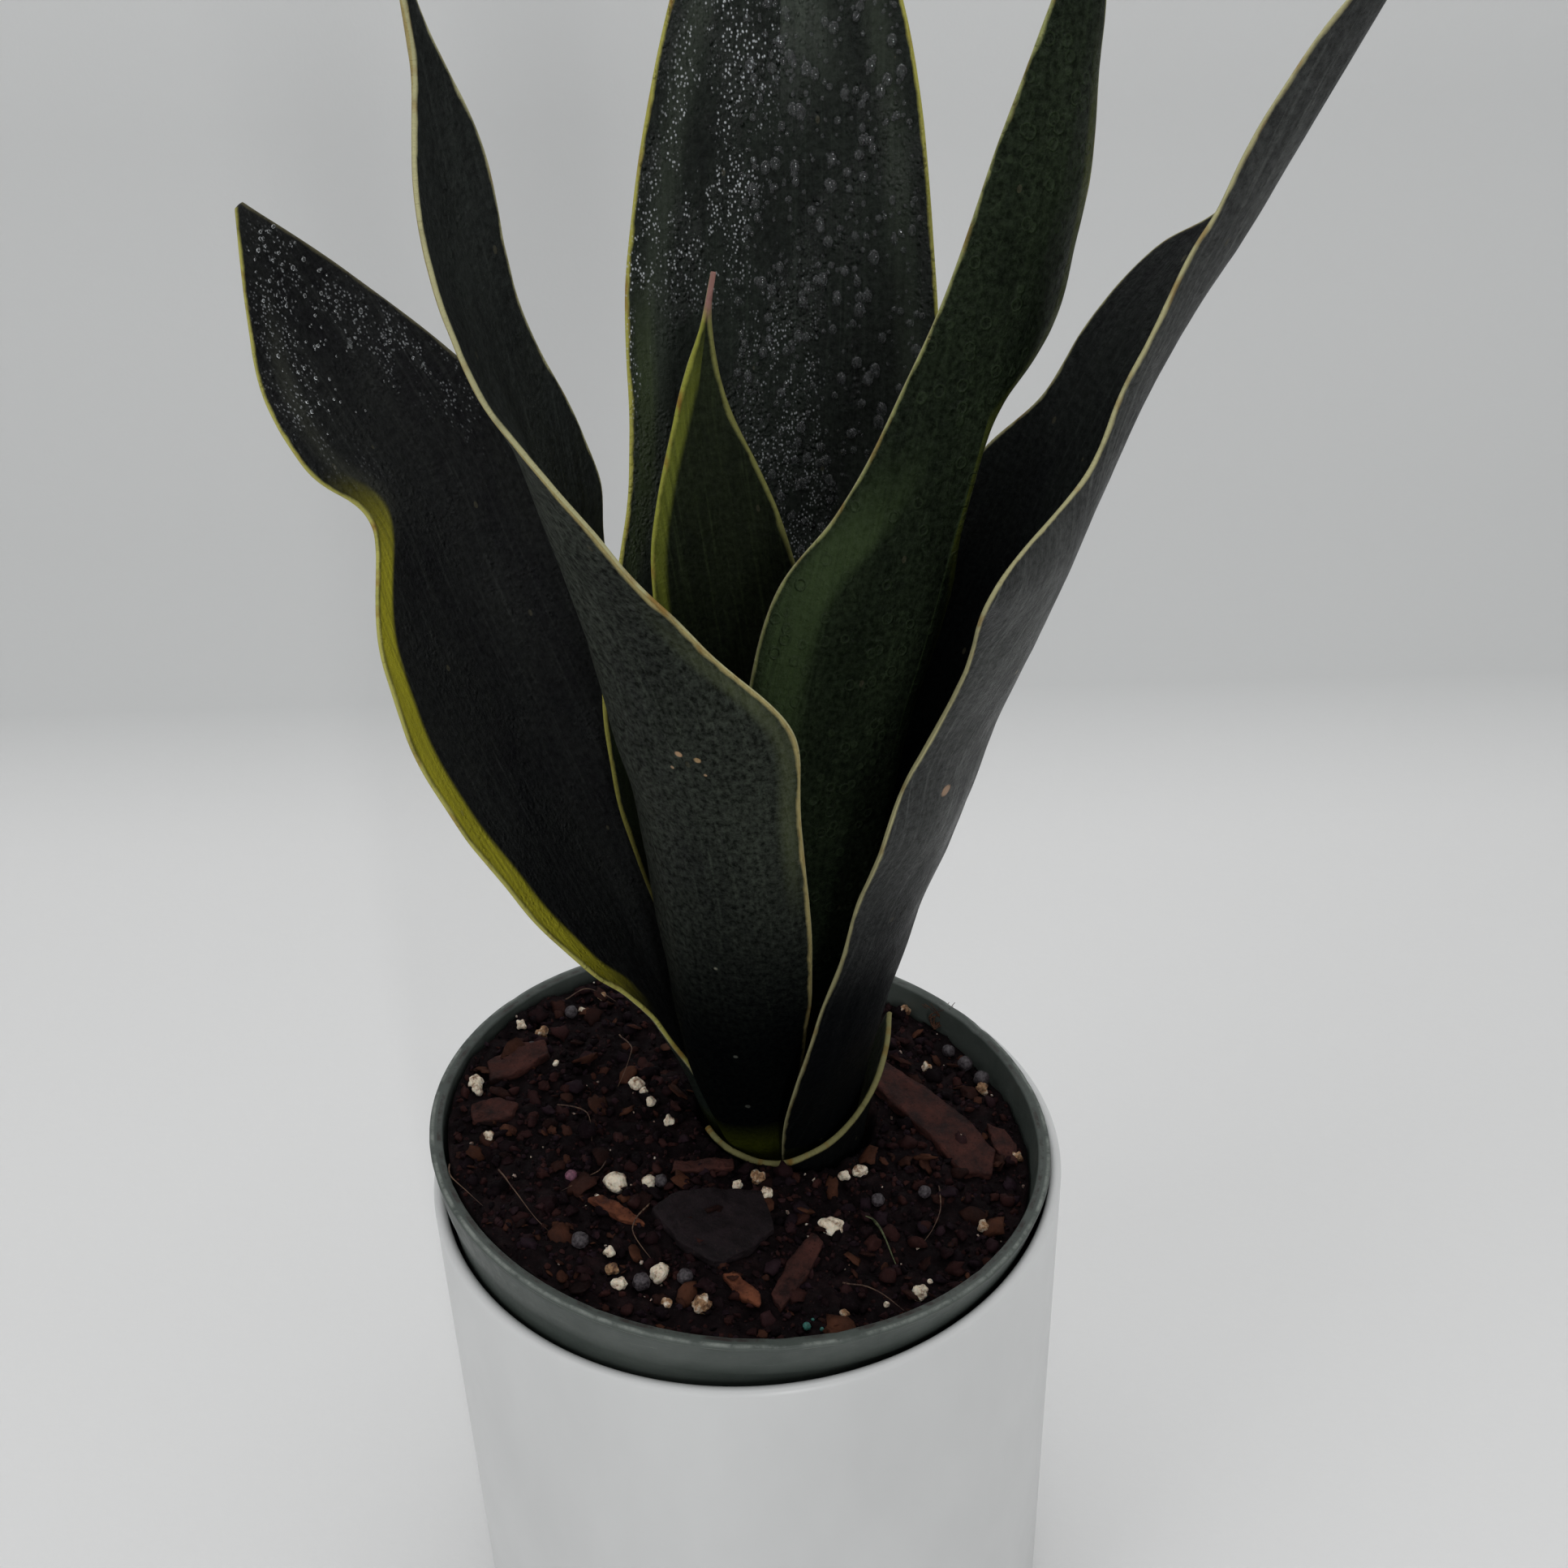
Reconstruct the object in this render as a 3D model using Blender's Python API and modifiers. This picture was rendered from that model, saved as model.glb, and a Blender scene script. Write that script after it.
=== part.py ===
"""A potted snake plant, modelled piece by piece.

A rosette of broad, channelled leaves stands on a short rhizome in potting mix.
The mix fills a tapered grower's pot, which sits a little askew in the mouth of
a plain cylindrical cachepot.  The design is in millimetres, with its origin at
the centre of the cachepot's foot, +Z up and the front of the plant towards -Y.
"""

import math
from collections import namedtuple

import bmesh
import bpy
from mathutils import Euler, Matrix, Vector, noise

MM = 0.001
GAP = 0.3  # clearance between neighbouring pieces

# Cachepot: a plain glazed cylinder.
CACHEPOT_RADIUS = 81.0
CACHEPOT_HEIGHT = 160.0
CACHEPOT_WALL = 3.0
CACHEPOT_FLOOR = 7.0
CACHEPOT_FOOT_ROUND = 5.0

# Grower's pot: a thin tapered pot, wedged askew in the cachepot's mouth.
GROWER_RIM_RADIUS = 79.5
GROWER_TAPER = 0.22
GROWER_HEIGHT = 116.0
GROWER_LIP = 3.4
GROWER_WALL = 1.6
GROWER_FLOOR = 2.0
GROWER_RIM_CENTRE = (-0.8, 0.0, 170.2)
GROWER_TILT = (1.8, 5.3)  # degrees: front edge raised, left edge raised
DRAIN_HOLES = 6
DRAIN_RADIUS = 6.0

# Potting mix, its surface and the plant's crown.
MIX_BELOW_RIM = 5.5
MIX_FALL = 0.045  # how far the surface drops to the right, per millimetre
MIX_HEIGHT = 98.0
MIX_RINGS = 9
MIX_ROUGHNESS = 1.4
CROWN = Vector((9.0, 10.0, 150.0))
CROWN_RADIUS = 21.0
CROWN_DEPTH = 25.0
CROWN_DROP = 1.2  # how far the rhizome stays below the feet of the leaves
POCKET_RADIUS = 23.6

TURNING_STEPS = 48
LEAF_ROWS = 28
LEAF_COLUMNS = 10
LEAF_THICKNESS = 2.6
SHEATH_COLUMNS = 20
SHEATH_ROWS = 4
SHEATH_THICKNESS = 1.8
LEAF_MARGIN = 0.45  # thickness of the margin as a share of the middle
CREASE_SHARE = 0.2  # share of the curl that is a crease along the midrib

# One cross-section of a leaf: the midrib's place, the compass bearing that the
# inner face looks to, and for the left and right halves, seen from that inner
# face, the half's width and the angle through which it curls towards the viewer.
Section = namedtuple("Section", "x y z facing left right curl_left curl_right")

LEAVES = {
    "back_leaf": [
        Section(9, 20, 150, -90, 12, 11, 75, 75),
        Section(10, 25, 185, -90, 22, 17, 72, 70),
        Section(10, 30, 230, -90, 39.5, 34, 62, 55),
        Section(10, 33, 280, -90, 46, 41, 50, 38),
        Section(13, 35, 330, -90, 36, 38, 32, 25),
        Section(15, 36, 380, -90, 33.5, 33, 15, 15),
        Section(16, 40, 430, -90, 22.5, 25, 10, 10),
        Section(19, 50, 488, -90, 1, 1, 5, 5),
    ],
    "front_leaf": [
        Section(1.5, -1.5, 150, 60, 12, 7, 68, 75),
        Section(-7.8, -11.5, 190, 58, 23, 15.5, 54, 68),
        Section(-12, -23.5, 240, 46, 31, 24.5, 54, 56),
        Section(-15, -30.5, 277, 42, 32.5, 27, 60, 55),
        Section(-19.5, -35.5, 303, 38, 36.5, 28, 62, 53),
        Section(-23.5, -38, 324, 30, 24.5, 29, 60, 50),
        Section(-30, -41, 350, 9, 21, 24, 50, 45),
        Section(-36, -44, 380, -10, 22, 12.5, 30, 30),
        Section(-39, -47, 398, -16, 23, 10.5, 28, 28),
        Section(-41, -50, 415, -20, 16, 11, 25, 25),
        Section(-41.8, -54, 432, -23, 3, 6, 18, 18),
        Section(-42, -58, 448, -25, 1, 1, 10, 10),
    ],
    "centre_right_leaf": [
        Section(13.5, 5.5, 150, 135, 8, 8, 75, 75),
        Section(20, -2, 185, 135, 8, 15, 62, 62),
        Section(27.5, -10, 230, 133, 7, 24, 52, 55),
        Section(35, -13, 280, 128, 6, 33.5, 46, 45),
        Section(43.5, -13, 315, 125, 6, 35, 42, 40),
        Section(48.5, -12.5, 336, 123, 2, 25.5, 38, 36),
        Section(53.5, -11.5, 356, 121, 2, 19.5, 34, 33),
        Section(61, -10, 380, 116, 12, 16, 30, 30),
        Section(69, -8, 414, 116, 7, 12.5, 30, 30),
        Section(72.5, -3, 455, 116, 1, 1, 10, 10),
    ],
    "right_leaf": [
        Section(25.5, 9, 150, 180, 10, 22, 75, 90),
        Section(32, 4, 190, 182, 10, 33, 65, 74),
        Section(41, -5, 235, 184, 25, 34, 60, 70),
        Section(49, -8.7, 262, 184, 30, 37, 58, 68),
        Section(54, -10.7, 279, 185, 32.5, 40, 57, 67),
        Section(59, -12.2, 297, 185, 33, 36, 57, 66),
        Section(67, -14, 318, 185, 33, 38.5, 55, 62),
        Section(73, -15, 336, 185, 31.5, 45, 52, 60),
        Section(79, -16.3, 353, 183, 23, 20, 48, 53),
        Section(84.7, -17.8, 368, 179, 22.5, 16.5, 44, 50),
        Section(92.5, -19.6, 384, 171, 21, 15.5, 40, 46),
        Section(100.2, -21, 398, 160, 13.5, 14.5, 38, 42),
        Section(113, -24, 426, 148, 6, 10.5, 30, 35),
        Section(129.5, -27, 458, 145, 1, 1, 10, 10),
    ],
    "left_leaf": [
        Section(-8, 12, 150, -5, 8.5, 15, 75, 75),
        Section(-17, 16, 185, -28, 13.5, 20, 65, 58),
        Section(-25, 18.2, 207, -39, 17.5, 23, 57, 50),
        Section(-32, 20, 225, -48, 25.5, 25, 50, 42),
        Section(-48, 24, 270, -52, 34.5, 29, 40, 35),
        Section(-60, 27, 305, -47, 33, 29, 35, 30),
        Section(-68, 30, 332, -43, 18.5, 27, 28, 25),
        Section(-77, 30, 352, -43, 25, 22, 24, 22),
        Section(-87, 28, 375, -43, 18, 11.5, 18, 18),
        Section(-95, 20, 397, -43, 1, 1, 8, 8),
    ],
    "young_leaf": [
        Section(9, 10.5, 150, -90, 4.5, 4.5, 75, 75),
        Section(7, 9, 220, -90, 12, 12, 60, 60),
        Section(4, 8, 285, -90, 18, 18, 40, 40),
        Section(0, 8, 325, -90, 16, 16, 30, 30),
        Section(-3, 8, 355, -90, 5.5, 6.8, 25, 25),
        Section(-1, 7, 373, -90, 1.2, 1.2, 15, 15),
        Section(1, 8, 384, -90, 0.5, 0.5, 5, 5),
    ],
}

# The short sheath round the crown's foot, from its left end round the front to
# its right end: bearing from the crown's centre, then the radius at its foot,
# the radius at its margin and the height of its margin.
SHEATH = [
    (-152, 20, 21, 167),
    (-120, 19, 22, 166),
    (-90, 20, 23, 166),
    (-55, 20.3, 23.7, 171),
    (-20, 20.5, 26, 181),
    (12, 21, 28, 190),
]

# Bark chips bedded in the mix, in the tilted pot's frame: name, place, height
# of the chip's middle over the mix, turn in degrees, thickness, tone, outline.
BARK_CHIPS = [
    ("bark_chip_flat", -7, -37, 0.9, (2, 3, 0), 2.6, "dark",
     [(-15, 3), (-10, 9), (0, 12), (12, 12), (15, 0), (9, -8), (1, -13), (-7, -8)]),
    ("bark_chip_long", 51, 8, 1.0, (0, 4, -52), 3.0, "red",
     [(-28, -4), (-26, 4), (-12, 7), (4, 8), (17, 6), (23, -1), (18, -7), (4, -5), (-12, -5)]),
    ("bark_chip_rim", 69, 1, 1.0, (3, 5, -75), 2.2, "red",
     [(-8, -2), (-5, 2), (1, 3), (7, 1), (6, -2), (0, -3)]),
    ("bark_chip_thin", -10, -16, 0.9, (4, 0, 4), 1.8, "red",
     [(-8, -2), (-7, 1), (0, 2), (8, 2), (8, -1), (0, -2)]),
    ("bark_chip_left", -60, 20, 0.8, (0, -5, 35), 2.4, "red",
     [(-10, -3), (-7, 4), (3, 6), (10, 3), (8, -3), (-2, -5)]),
    ("bark_chip_small", -64, -1, 0.8, (4, 2, 20), 2.2, "red",
     [(-6, -3), (-5, 3), (2, 4), (7, 1), (4, -4)]),
    ("bark_sliver_orange", -30, -35, 0.9, (0, 6, -28), 1.8, "orange",
     [(-8, -1), (-6, 2), (2, 2), (8, 0), (2, -2)]),
    ("bark_sliver_red", 13, -50, 1.0, (3, 0, 65), 2.0, "red",
     [(-13, -2), (-10, 2), (2, 3), (13, 2), (12, -2), (0, -3)]),
    ("bark_sliver_front", 0, -57, 0.9, (0, 0, -50), 1.8, "orange",
     [(-6, -1), (-4, 2), (5, 2), (7, 0), (3, -2)]),
]

# The larger perlite grains: place in the tilted pot's frame, then size.
PERLITE_GRAINS = [
    (-31, -24, (6.0, 5.0, 5.0)),
    (-23, -23, (3.6, 3.4, 3.2)),
    (22, -34, (4.6, 6.4, 4.4)),
    (30, -13, (3.4, 4.2, 3.2)),
    (-28, 15, (4.2, 3.6, 3.4)),
    (-70, 11, (4.0, 4.0, 3.6)),
    (-19, -53, (5.0, 4.0, 4.0)),
    (42, -54, (4.0, 3.6, 3.4)),
]


def material(name, colour, roughness, metallic=0.0):
    """Make a plain Principled material."""
    made = bpy.data.materials.new(name)
    made.use_nodes = True
    shader = made.node_tree.nodes["Principled BSDF"]
    shader.inputs["Base Color"].default_value = (*colour, 1.0)
    shader.inputs["Roughness"].default_value = roughness
    shader.inputs["Metallic"].default_value = metallic
    return made


def clear_scene():
    """Remove every object, and set up the two collections."""
    for old in list(bpy.data.objects):
        bpy.data.objects.remove(old, do_unlink=True)
    groups = []
    for name in ("potted_snake_plant", "cutters"):
        group = bpy.data.collections.new(name)
        bpy.context.scene.collection.children.link(group)
        groups.append(group)
    return groups


def add_object(name, mesh, group, finish=None):
    """Put a mesh in the scene as a named object."""
    made = bpy.data.objects.new(name, mesh)
    group.objects.link(made)
    if finish:
        mesh.materials.append(finish)
    return made


def smooth_track(values, u):
    """Read a smooth curve through evenly spaced values at u, from 0 to 1."""
    last = len(values) - 1
    place = min(max(u, 0.0), 1.0) * last
    i = min(int(place), last - 1)
    t = place - i
    before = values[max(i - 1, 0)]
    a, b = values[i], values[i + 1]
    after = values[min(i + 2, last)]
    slope_a = (b - before) / 2
    slope_b = (after - a) / 2
    return (
        (2 * t**3 - 3 * t**2 + 1) * a
        + (t**3 - 2 * t**2 + t) * slope_a
        + (3 * t**2 - 2 * t**3) * b
        + (t**3 - t**2) * slope_b
    )


def half_section(width, curl, share):
    """Place a point of a half blade: how far along and towards the face."""
    start = math.radians(curl) * CREASE_SHARE
    turn = max(math.radians(curl) - start, 0.001)
    angle = start + turn * share
    along = width * (math.sin(angle) - math.sin(start)) / turn
    out = width * (math.cos(start) - math.cos(angle)) / turn
    return along, out


def leaf_point(sections, u, across):
    """Place a point of a leaf's middle surface, with across from -1 to 1."""
    x, y, z, facing, left, right, curl_left, curl_right = (
        smooth_track([getattr(s, field) for s in sections], u) for field in Section._fields
    )
    step = 0.01
    ends = [
        Vector([smooth_track([s[axis] for s in sections], v) for axis in range(3)])
        for v in (max(u - step, 0.0), min(u + step, 1.0))
    ]
    growth = (ends[1] - ends[0]).normalized()
    bearing = math.radians(facing)
    face = Vector((math.cos(bearing), math.sin(bearing), 0.0))
    face = (face - growth * face.dot(growth)).normalized()
    side = growth.cross(face)
    width, curl = (right, curl_right) if across > 0 else (left, curl_left)
    along, out = half_section(max(width, 0.3), curl, abs(across))
    return Vector((x, y, z)) + side * math.copysign(along, across) + face * out


def sheath_point(u, v):
    """Place a point of the sheath: u along its margin, v from foot to margin."""
    bearing, foot, margin, height = (
        smooth_track([station[field] for station in SHEATH], u) for field in range(4)
    )
    angle = math.radians(bearing)
    radius = foot + (margin - foot) * v**1.6
    flat = Vector((math.cos(angle), math.sin(angle), 0.0)) * radius
    return CROWN + flat + Vector((0.0, 0.0, (height - CROWN.z) * v))


def blade(name, place, columns, rows, thickness, finish, group):
    """Shape a grid with place(x, y), and thicken it towards its middle."""
    bm = bmesh.new()
    bmesh.ops.create_grid(bm, x_segments=columns, y_segments=rows, size=1.0)
    weights = {}
    for vert in bm.verts:
        vert.co, weights[vert.index] = place(vert.co.x, vert.co.y)
    mesh = bpy.data.meshes.new(name)
    bm.to_mesh(mesh)
    bm.free()
    made = add_object(name, mesh, group, finish)
    group_of_weights = made.vertex_groups.new(name="thickness")
    for index, weight in weights.items():
        group_of_weights.add([index], weight, "REPLACE")
    wall = made.modifiers.new("blade", "SOLIDIFY")
    wall.thickness = thickness * MM
    wall.offset = 0.0
    wall.vertex_group = group_of_weights.name
    mesh.shade_smooth()
    return made


def turned(name, profile, group, finish=None, steps=TURNING_STEPS):
    """Turn a profile, given top to bottom on its outer side, about Z."""
    bm = bmesh.new()
    verts = [bm.verts.new((r * MM, 0.0, z * MM)) for r, z in profile]
    for a, b in zip(verts, verts[1:]):
        bm.edges.new((a, b))
    mesh = bpy.data.meshes.new(name)
    bm.to_mesh(mesh)
    bm.free()
    made = add_object(name, mesh, group, finish)
    screw = made.modifiers.new("turn", "SCREW")
    screw.steps = screw.render_steps = steps
    screw.use_merge_vertices = True
    screw.merge_threshold = 0.00005
    screw.use_smooth_shade = True
    return made


def arc(centre, radius, start, end, count):
    """List points along an arc, with its angles in degrees."""
    angles = [math.radians(start + (end - start) * i / count) for i in range(count + 1)]
    return [(centre[0] + radius * math.cos(a), centre[1] + radius * math.sin(a)) for a in angles]


def build_cachepot(group):
    """Turn the cachepot, with a rounded lip and foot."""
    outer, height = CACHEPOT_RADIUS, CACHEPOT_HEIGHT
    lip = CACHEPOT_WALL / 2
    foot = CACHEPOT_FOOT_ROUND
    inner = outer - CACHEPOT_WALL
    profile = [(0.0, CACHEPOT_FLOOR), (inner - foot, CACHEPOT_FLOOR)]
    profile += arc((inner - foot, CACHEPOT_FLOOR + foot), foot, -60, 0, 2)
    profile += arc((outer - lip, height - lip), lip, 180, 0, 6)
    profile += arc((outer - foot, foot), foot, 0, -90, 4)
    profile.append((0.0, 0.0))
    return turned("cachepot", profile, group, material("white_glaze", (0.8, 0.81, 0.82), 0.3))


def build_leaf(name, sections, finish, group):
    """Loft one leaf, thinner at its margins and towards its tip."""

    def place(x, y):
        u = (y + 1.0) / 2
        weight = (1.0 - (1.0 - LEAF_MARGIN) * abs(x) ** 3) * (1.0 - 0.6 * u**4)
        return leaf_point(sections, u, x) * MM, weight

    return blade(name, place, LEAF_COLUMNS, LEAF_ROWS, LEAF_THICKNESS, finish, group)


def build_sheath(finish, group):
    """Wrap the short basal sheath round the front of the crown."""

    def place(x, y):
        v = (y + 1.0) / 2
        return sheath_point((x + 1.0) / 2, v) * MM, 1.0 - 0.5 * v**2

    return blade("basal_sheath", place, SHEATH_COLUMNS, SHEATH_ROWS, SHEATH_THICKNESS, finish, group)


def grower_wall(depth):
    """Outer radius of the grower's pot at a depth below its rim."""
    return GROWER_RIM_RADIUS - GROWER_TAPER * depth


def grower_inside(depth):
    """Inner radius of the grower's pot, whose lip thins into the wall."""
    lip = max(1.0 - depth / 12.0, 0.0)
    return grower_wall(depth) - GROWER_WALL - (GROWER_LIP - GROWER_WALL) * lip


def grower_frame(group):
    """Make the empty that tilts the grower's pot and its filling."""
    frame = bpy.data.objects.new("grower_frame", None)
    group.objects.link(frame)
    frame.location = Vector(GROWER_RIM_CENTRE) * MM
    frame.rotation_euler = Euler((-math.radians(GROWER_TILT[0]), math.radians(GROWER_TILT[1]), 0.0))
    return frame


def cut(target, cutter):
    """Cut one object out of another with a live Boolean."""
    cutter.hide_render = True
    cutter.display_type = "WIRE"
    step = target.modifiers.new("cut_" + cutter.name, "BOOLEAN")
    step.operation = "DIFFERENCE"
    step.object = cutter


def build_grower_pot(frame, group, cutters):
    """Turn the tapered pot and drill its drainage holes."""
    bottom = GROWER_HEIGHT
    floor = bottom - GROWER_FLOOR
    edge = 0.8
    profile = [(0.0, -floor), (grower_inside(floor), -floor)]
    profile += [(grower_inside(depth), -depth) for depth in (60.0, 12.0)]
    profile += arc((grower_inside(edge) + edge, -edge), edge, 180, 90, 2)
    profile += arc((grower_wall(edge) - edge, -edge), edge, 90, 0, 2)
    profile += [(grower_wall(depth), -depth) for depth in (16.0, 60.0, bottom - 3.0)]
    profile += [(grower_wall(bottom) - 2.5, -bottom), (0.0, -bottom)]
    green = material("grower_green", (0.041, 0.048, 0.045), 0.45)
    pot = turned("nursery_pot", profile, group, green)
    pot.parent = frame
    for i in range(DRAIN_HOLES):
        angle = 2 * math.pi * i / DRAIN_HOLES
        place = Vector((math.cos(angle), math.sin(angle), 0.0)) * (grower_wall(bottom) * 0.7)
        bpy.ops.mesh.primitive_cylinder_add(vertices=12, radius=DRAIN_RADIUS * MM, depth=10 * MM)
        drill = bpy.context.object
        drill.name = f"drain_cutter_{i + 1}"
        move_to(drill, cutters)
        drill.parent = frame
        drill.location = (place - Vector((0.0, 0.0, bottom))) * MM
        cut(pot, drill)
    return pot


def move_to(thing, group):
    """Move an object into one collection only."""
    for old in list(thing.users_collection):
        old.objects.unlink(thing)
    group.objects.link(thing)


def mix_height(x, y):
    """Height of the mix's lumpy surface in the tilted pot's frame."""
    lumps = noise.noise(Vector((x / 14, y / 14, 3.0))) + 0.5 * noise.noise(Vector((x / 6, y / 6, 9.0)))
    return -MIX_BELOW_RIM - MIX_FALL * x + MIX_ROUGHNESS * lumps


def build_mix(frame, group, cutters, bedded):
    """Turn the potting mix, lump its surface, and cut out what is bedded in it."""
    top, bottom = MIX_BELOW_RIM, MIX_BELOW_RIM + MIX_HEIGHT
    reach = grower_inside(top) - 1.0
    profile = [(reach * i / MIX_RINGS, -top) for i in range(MIX_RINGS + 1)]
    profile += [(grower_inside(d) - GAP - 0.2, -d) for d in (top + 7.0, 60.0, bottom)]
    profile.append((0.0, -bottom))
    shape = turned("mix_shape", profile, cutters)
    solid = bpy.data.meshes.new_from_object(shape.evaluated_get(bpy.context.evaluated_depsgraph_get()))
    bpy.data.objects.remove(shape, do_unlink=True)
    for vert in solid.vertices:
        x, y, z = vert.co / MM
        if z > -top - 0.5:
            vert.co.z = mix_height(x, y) * MM
    mix = add_object("potting_mix", solid, group, material("mix_brown", (0.022, 0.012, 0.011), 0.9))
    mix.parent = frame
    profile = [(0.0, 190.0), (POCKET_RADIUS, 190.0), (POCKET_RADIUS, CROWN.z - GAP)]
    profile += rhizome_outline(GAP)
    profile.append((0.0, profile[-1][1]))
    pocket = turned("crown_pocket", profile, cutters, steps=40)
    pocket.location = Vector((CROWN.x, CROWN.y, 0.0)) * MM
    cut(mix, pocket)
    for cutter in bedded:
        cut(mix, cutter)
    return mix


def rhizome_outline(grow):
    """Side of the rhizome, downwards, grown by a clearance."""
    drops = [(0.0, 1.0), (0.35, 0.97), (0.7, 0.8), (0.93, 0.5), (1.0, 0.2)]
    return [
        (CROWN_RADIUS * share + grow, CROWN.z - CROWN_DROP - CROWN_DEPTH * drop - grow * drop)
        for drop, share in drops
    ]


def build_rhizome(group):
    """Turn the stout underground stem that carries the leaves."""
    sides = rhizome_outline(0.0)
    profile = [(0.0, sides[0][1]), *sides, (0.0, sides[-1][1])]
    stem = turned("rhizome", profile, group, material("rhizome_tan", (0.3, 0.16, 0.06), 0.7), steps=32)
    stem.location = Vector((CROWN.x, CROWN.y, 0.0)) * MM
    return stem


def chip_mesh(name, outline, thickness, grow):
    """Extrude a chip's outline, grown by a clearance, with broken edges."""
    bm = bmesh.new()
    centre = sum((Vector(p) for p in outline), Vector((0.0, 0.0))) / len(outline)
    verts = []
    for point in outline:
        arm = Vector(point) - centre
        arm *= 1.0 + grow * 1.6 / arm.length
        verts.append(bm.verts.new((*((centre + arm) * MM), -(thickness / 2 + grow) * MM)))
    face = bm.faces.new(verts)
    top = bmesh.ops.extrude_face_region(bm, geom=[face])
    raised = [v for v in top["geom"] if isinstance(v, bmesh.types.BMVert)]
    bmesh.ops.translate(bm, verts=raised, vec=(0.0, 0.0, (thickness + 2 * grow) * MM))
    bmesh.ops.scale(bm, verts=raised, vec=(0.94, 0.94, 1.0), space=Matrix.Translation((*(-centre * MM), 0.0)))
    bmesh.ops.recalc_face_normals(bm, faces=bm.faces[:])
    mesh = bpy.data.meshes.new(name)
    bm.to_mesh(mesh)
    bm.free()
    return mesh


def grain_mesh(name, size, seed, grow):
    """Shape one lumpy grain from an icosphere."""
    bm = bmesh.new()
    bmesh.ops.create_icosphere(bm, subdivisions=2, radius=1.0)
    for vert in bm.verts:
        lump = 1.0 + 0.25 * noise.noise(vert.co * 1.3 + Vector((seed, 0.0, 0.0)))
        vert.co = Vector([c * lump * (s / 2 + grow) * MM for c, s in zip(vert.co, size)])
    mesh = bpy.data.meshes.new(name)
    bm.to_mesh(mesh)
    bm.free()
    return mesh


def bed(thing, frame, x, y, lift, turn):
    """Lay a piece on the mix at x, y, a little above or into its surface."""
    thing.parent = frame
    thing.location = Vector((x, y, mix_height(x, y) + lift)) * MM
    thing.rotation_euler = Euler([math.radians(a) for a in turn])


def build_top_dressing(frame, group, cutters):
    """Bed the larger bark chips and perlite grains in the mix's surface."""
    bedded = []
    bark = {
        "dark": material("bark_dark", (0.016, 0.011, 0.014), 0.85),
        "red": material("bark_red", (0.06, 0.022, 0.016), 0.8),
        "orange": material("bark_orange", (0.2, 0.075, 0.03), 0.8),
    }
    for name, x, y, lift, turn, thickness, tone, outline in BARK_CHIPS:
        chip = add_object(name, chip_mesh(name, outline, thickness, 0.0), group, bark[tone])
        cutter = add_object(name + "_cutter", chip_mesh(name, outline, thickness, GAP), cutters)
        for piece in (chip, cutter):
            bed(piece, frame, x, y, lift, turn)
        bedded.append(cutter)
    white = material("perlite_white", (0.62, 0.56, 0.48), 0.9)
    for i, (x, y, size) in enumerate(PERLITE_GRAINS):
        name = f"perlite_grain_{i + 1}"
        grain = add_object(name, grain_mesh(name, size, i, 0.0), group, white)
        cutter = add_object(name + "_cutter", grain_mesh(name, size, i, GAP), cutters)
        for piece in (grain, cutter):
            bed(piece, frame, x, y, size[2] * 0.2, (0.0, 0.0, 40.0 * i))
        bedded.append(cutter)
    return bedded


def main():
    """Build every piece."""
    parts, cutters = clear_scene()
    build_cachepot(parts)
    frame = grower_frame(parts)
    build_grower_pot(frame, parts, cutters)
    build_rhizome(parts)
    bedded = build_top_dressing(frame, parts, cutters)
    build_mix(frame, parts, cutters, bedded)
    green = material("leaf_green", (0.02, 0.035, 0.02), 0.35)
    for name, sections in LEAVES.items():
        build_leaf(name, sections, green, parts)
    build_sheath(green, parts)


main()
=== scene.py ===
"""Looks of a potted snake plant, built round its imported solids.

Each sub-assembly is a class that models its pieces and dresses them: the leaves and their basal
sheath, the water on them, the nursery pot and the cachepot, and the potting mix with its bark,
perlite, fertiliser and roots.  Sizes are in millimetres and become metres as a mesh is made.
The origin is the centre of the cachepot's foot, +Z is up and the front is towards -Y.
"""

import logging
import math
import random
from dataclasses import dataclass
from enum import Enum
from typing import Iterable, NamedTuple, Optional, Sequence, Union

import bmesh
import bpy
from mathutils import Euler, Matrix, Vector, noise


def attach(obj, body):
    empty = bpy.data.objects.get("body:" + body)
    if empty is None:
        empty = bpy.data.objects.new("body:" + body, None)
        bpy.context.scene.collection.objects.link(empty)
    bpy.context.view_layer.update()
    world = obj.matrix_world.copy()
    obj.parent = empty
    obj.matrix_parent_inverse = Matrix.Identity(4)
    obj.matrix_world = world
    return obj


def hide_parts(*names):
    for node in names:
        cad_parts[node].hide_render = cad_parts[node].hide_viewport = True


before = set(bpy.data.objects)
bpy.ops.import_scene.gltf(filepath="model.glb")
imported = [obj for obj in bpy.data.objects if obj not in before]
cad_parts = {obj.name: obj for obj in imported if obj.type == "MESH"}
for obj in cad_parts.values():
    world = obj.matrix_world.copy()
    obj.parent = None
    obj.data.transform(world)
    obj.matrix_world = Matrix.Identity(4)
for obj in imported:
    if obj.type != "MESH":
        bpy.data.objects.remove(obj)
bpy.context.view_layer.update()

LOG = logging.getLogger("potted_snake_plant")
MM = 0.001
BODY = "root"
NOISE_SEED = 7

Colour = tuple[float, float, float]
Socket = bpy.types.NodeSocket
Value = Union[float, Colour, Vector, Socket]
Point = tuple[float, float]
Spot = tuple[float, float, float]
Finish = bpy.types.Material
Piece = bpy.types.Object
Mesh = bmesh.types.BMesh


def tone(red: int, green: int, blue: int) -> Colour:
    """Turn a display colour, 0 to 255, into the linear colour that a shader takes."""
    shares = (red / 255, green / 255, blue / 255)
    return tuple(s / 12.92 if s <= 0.04045 else ((s + 0.055) / 1.055) ** 2.4 for s in shares)


# ---------------------------------------------------------------- materials


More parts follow.
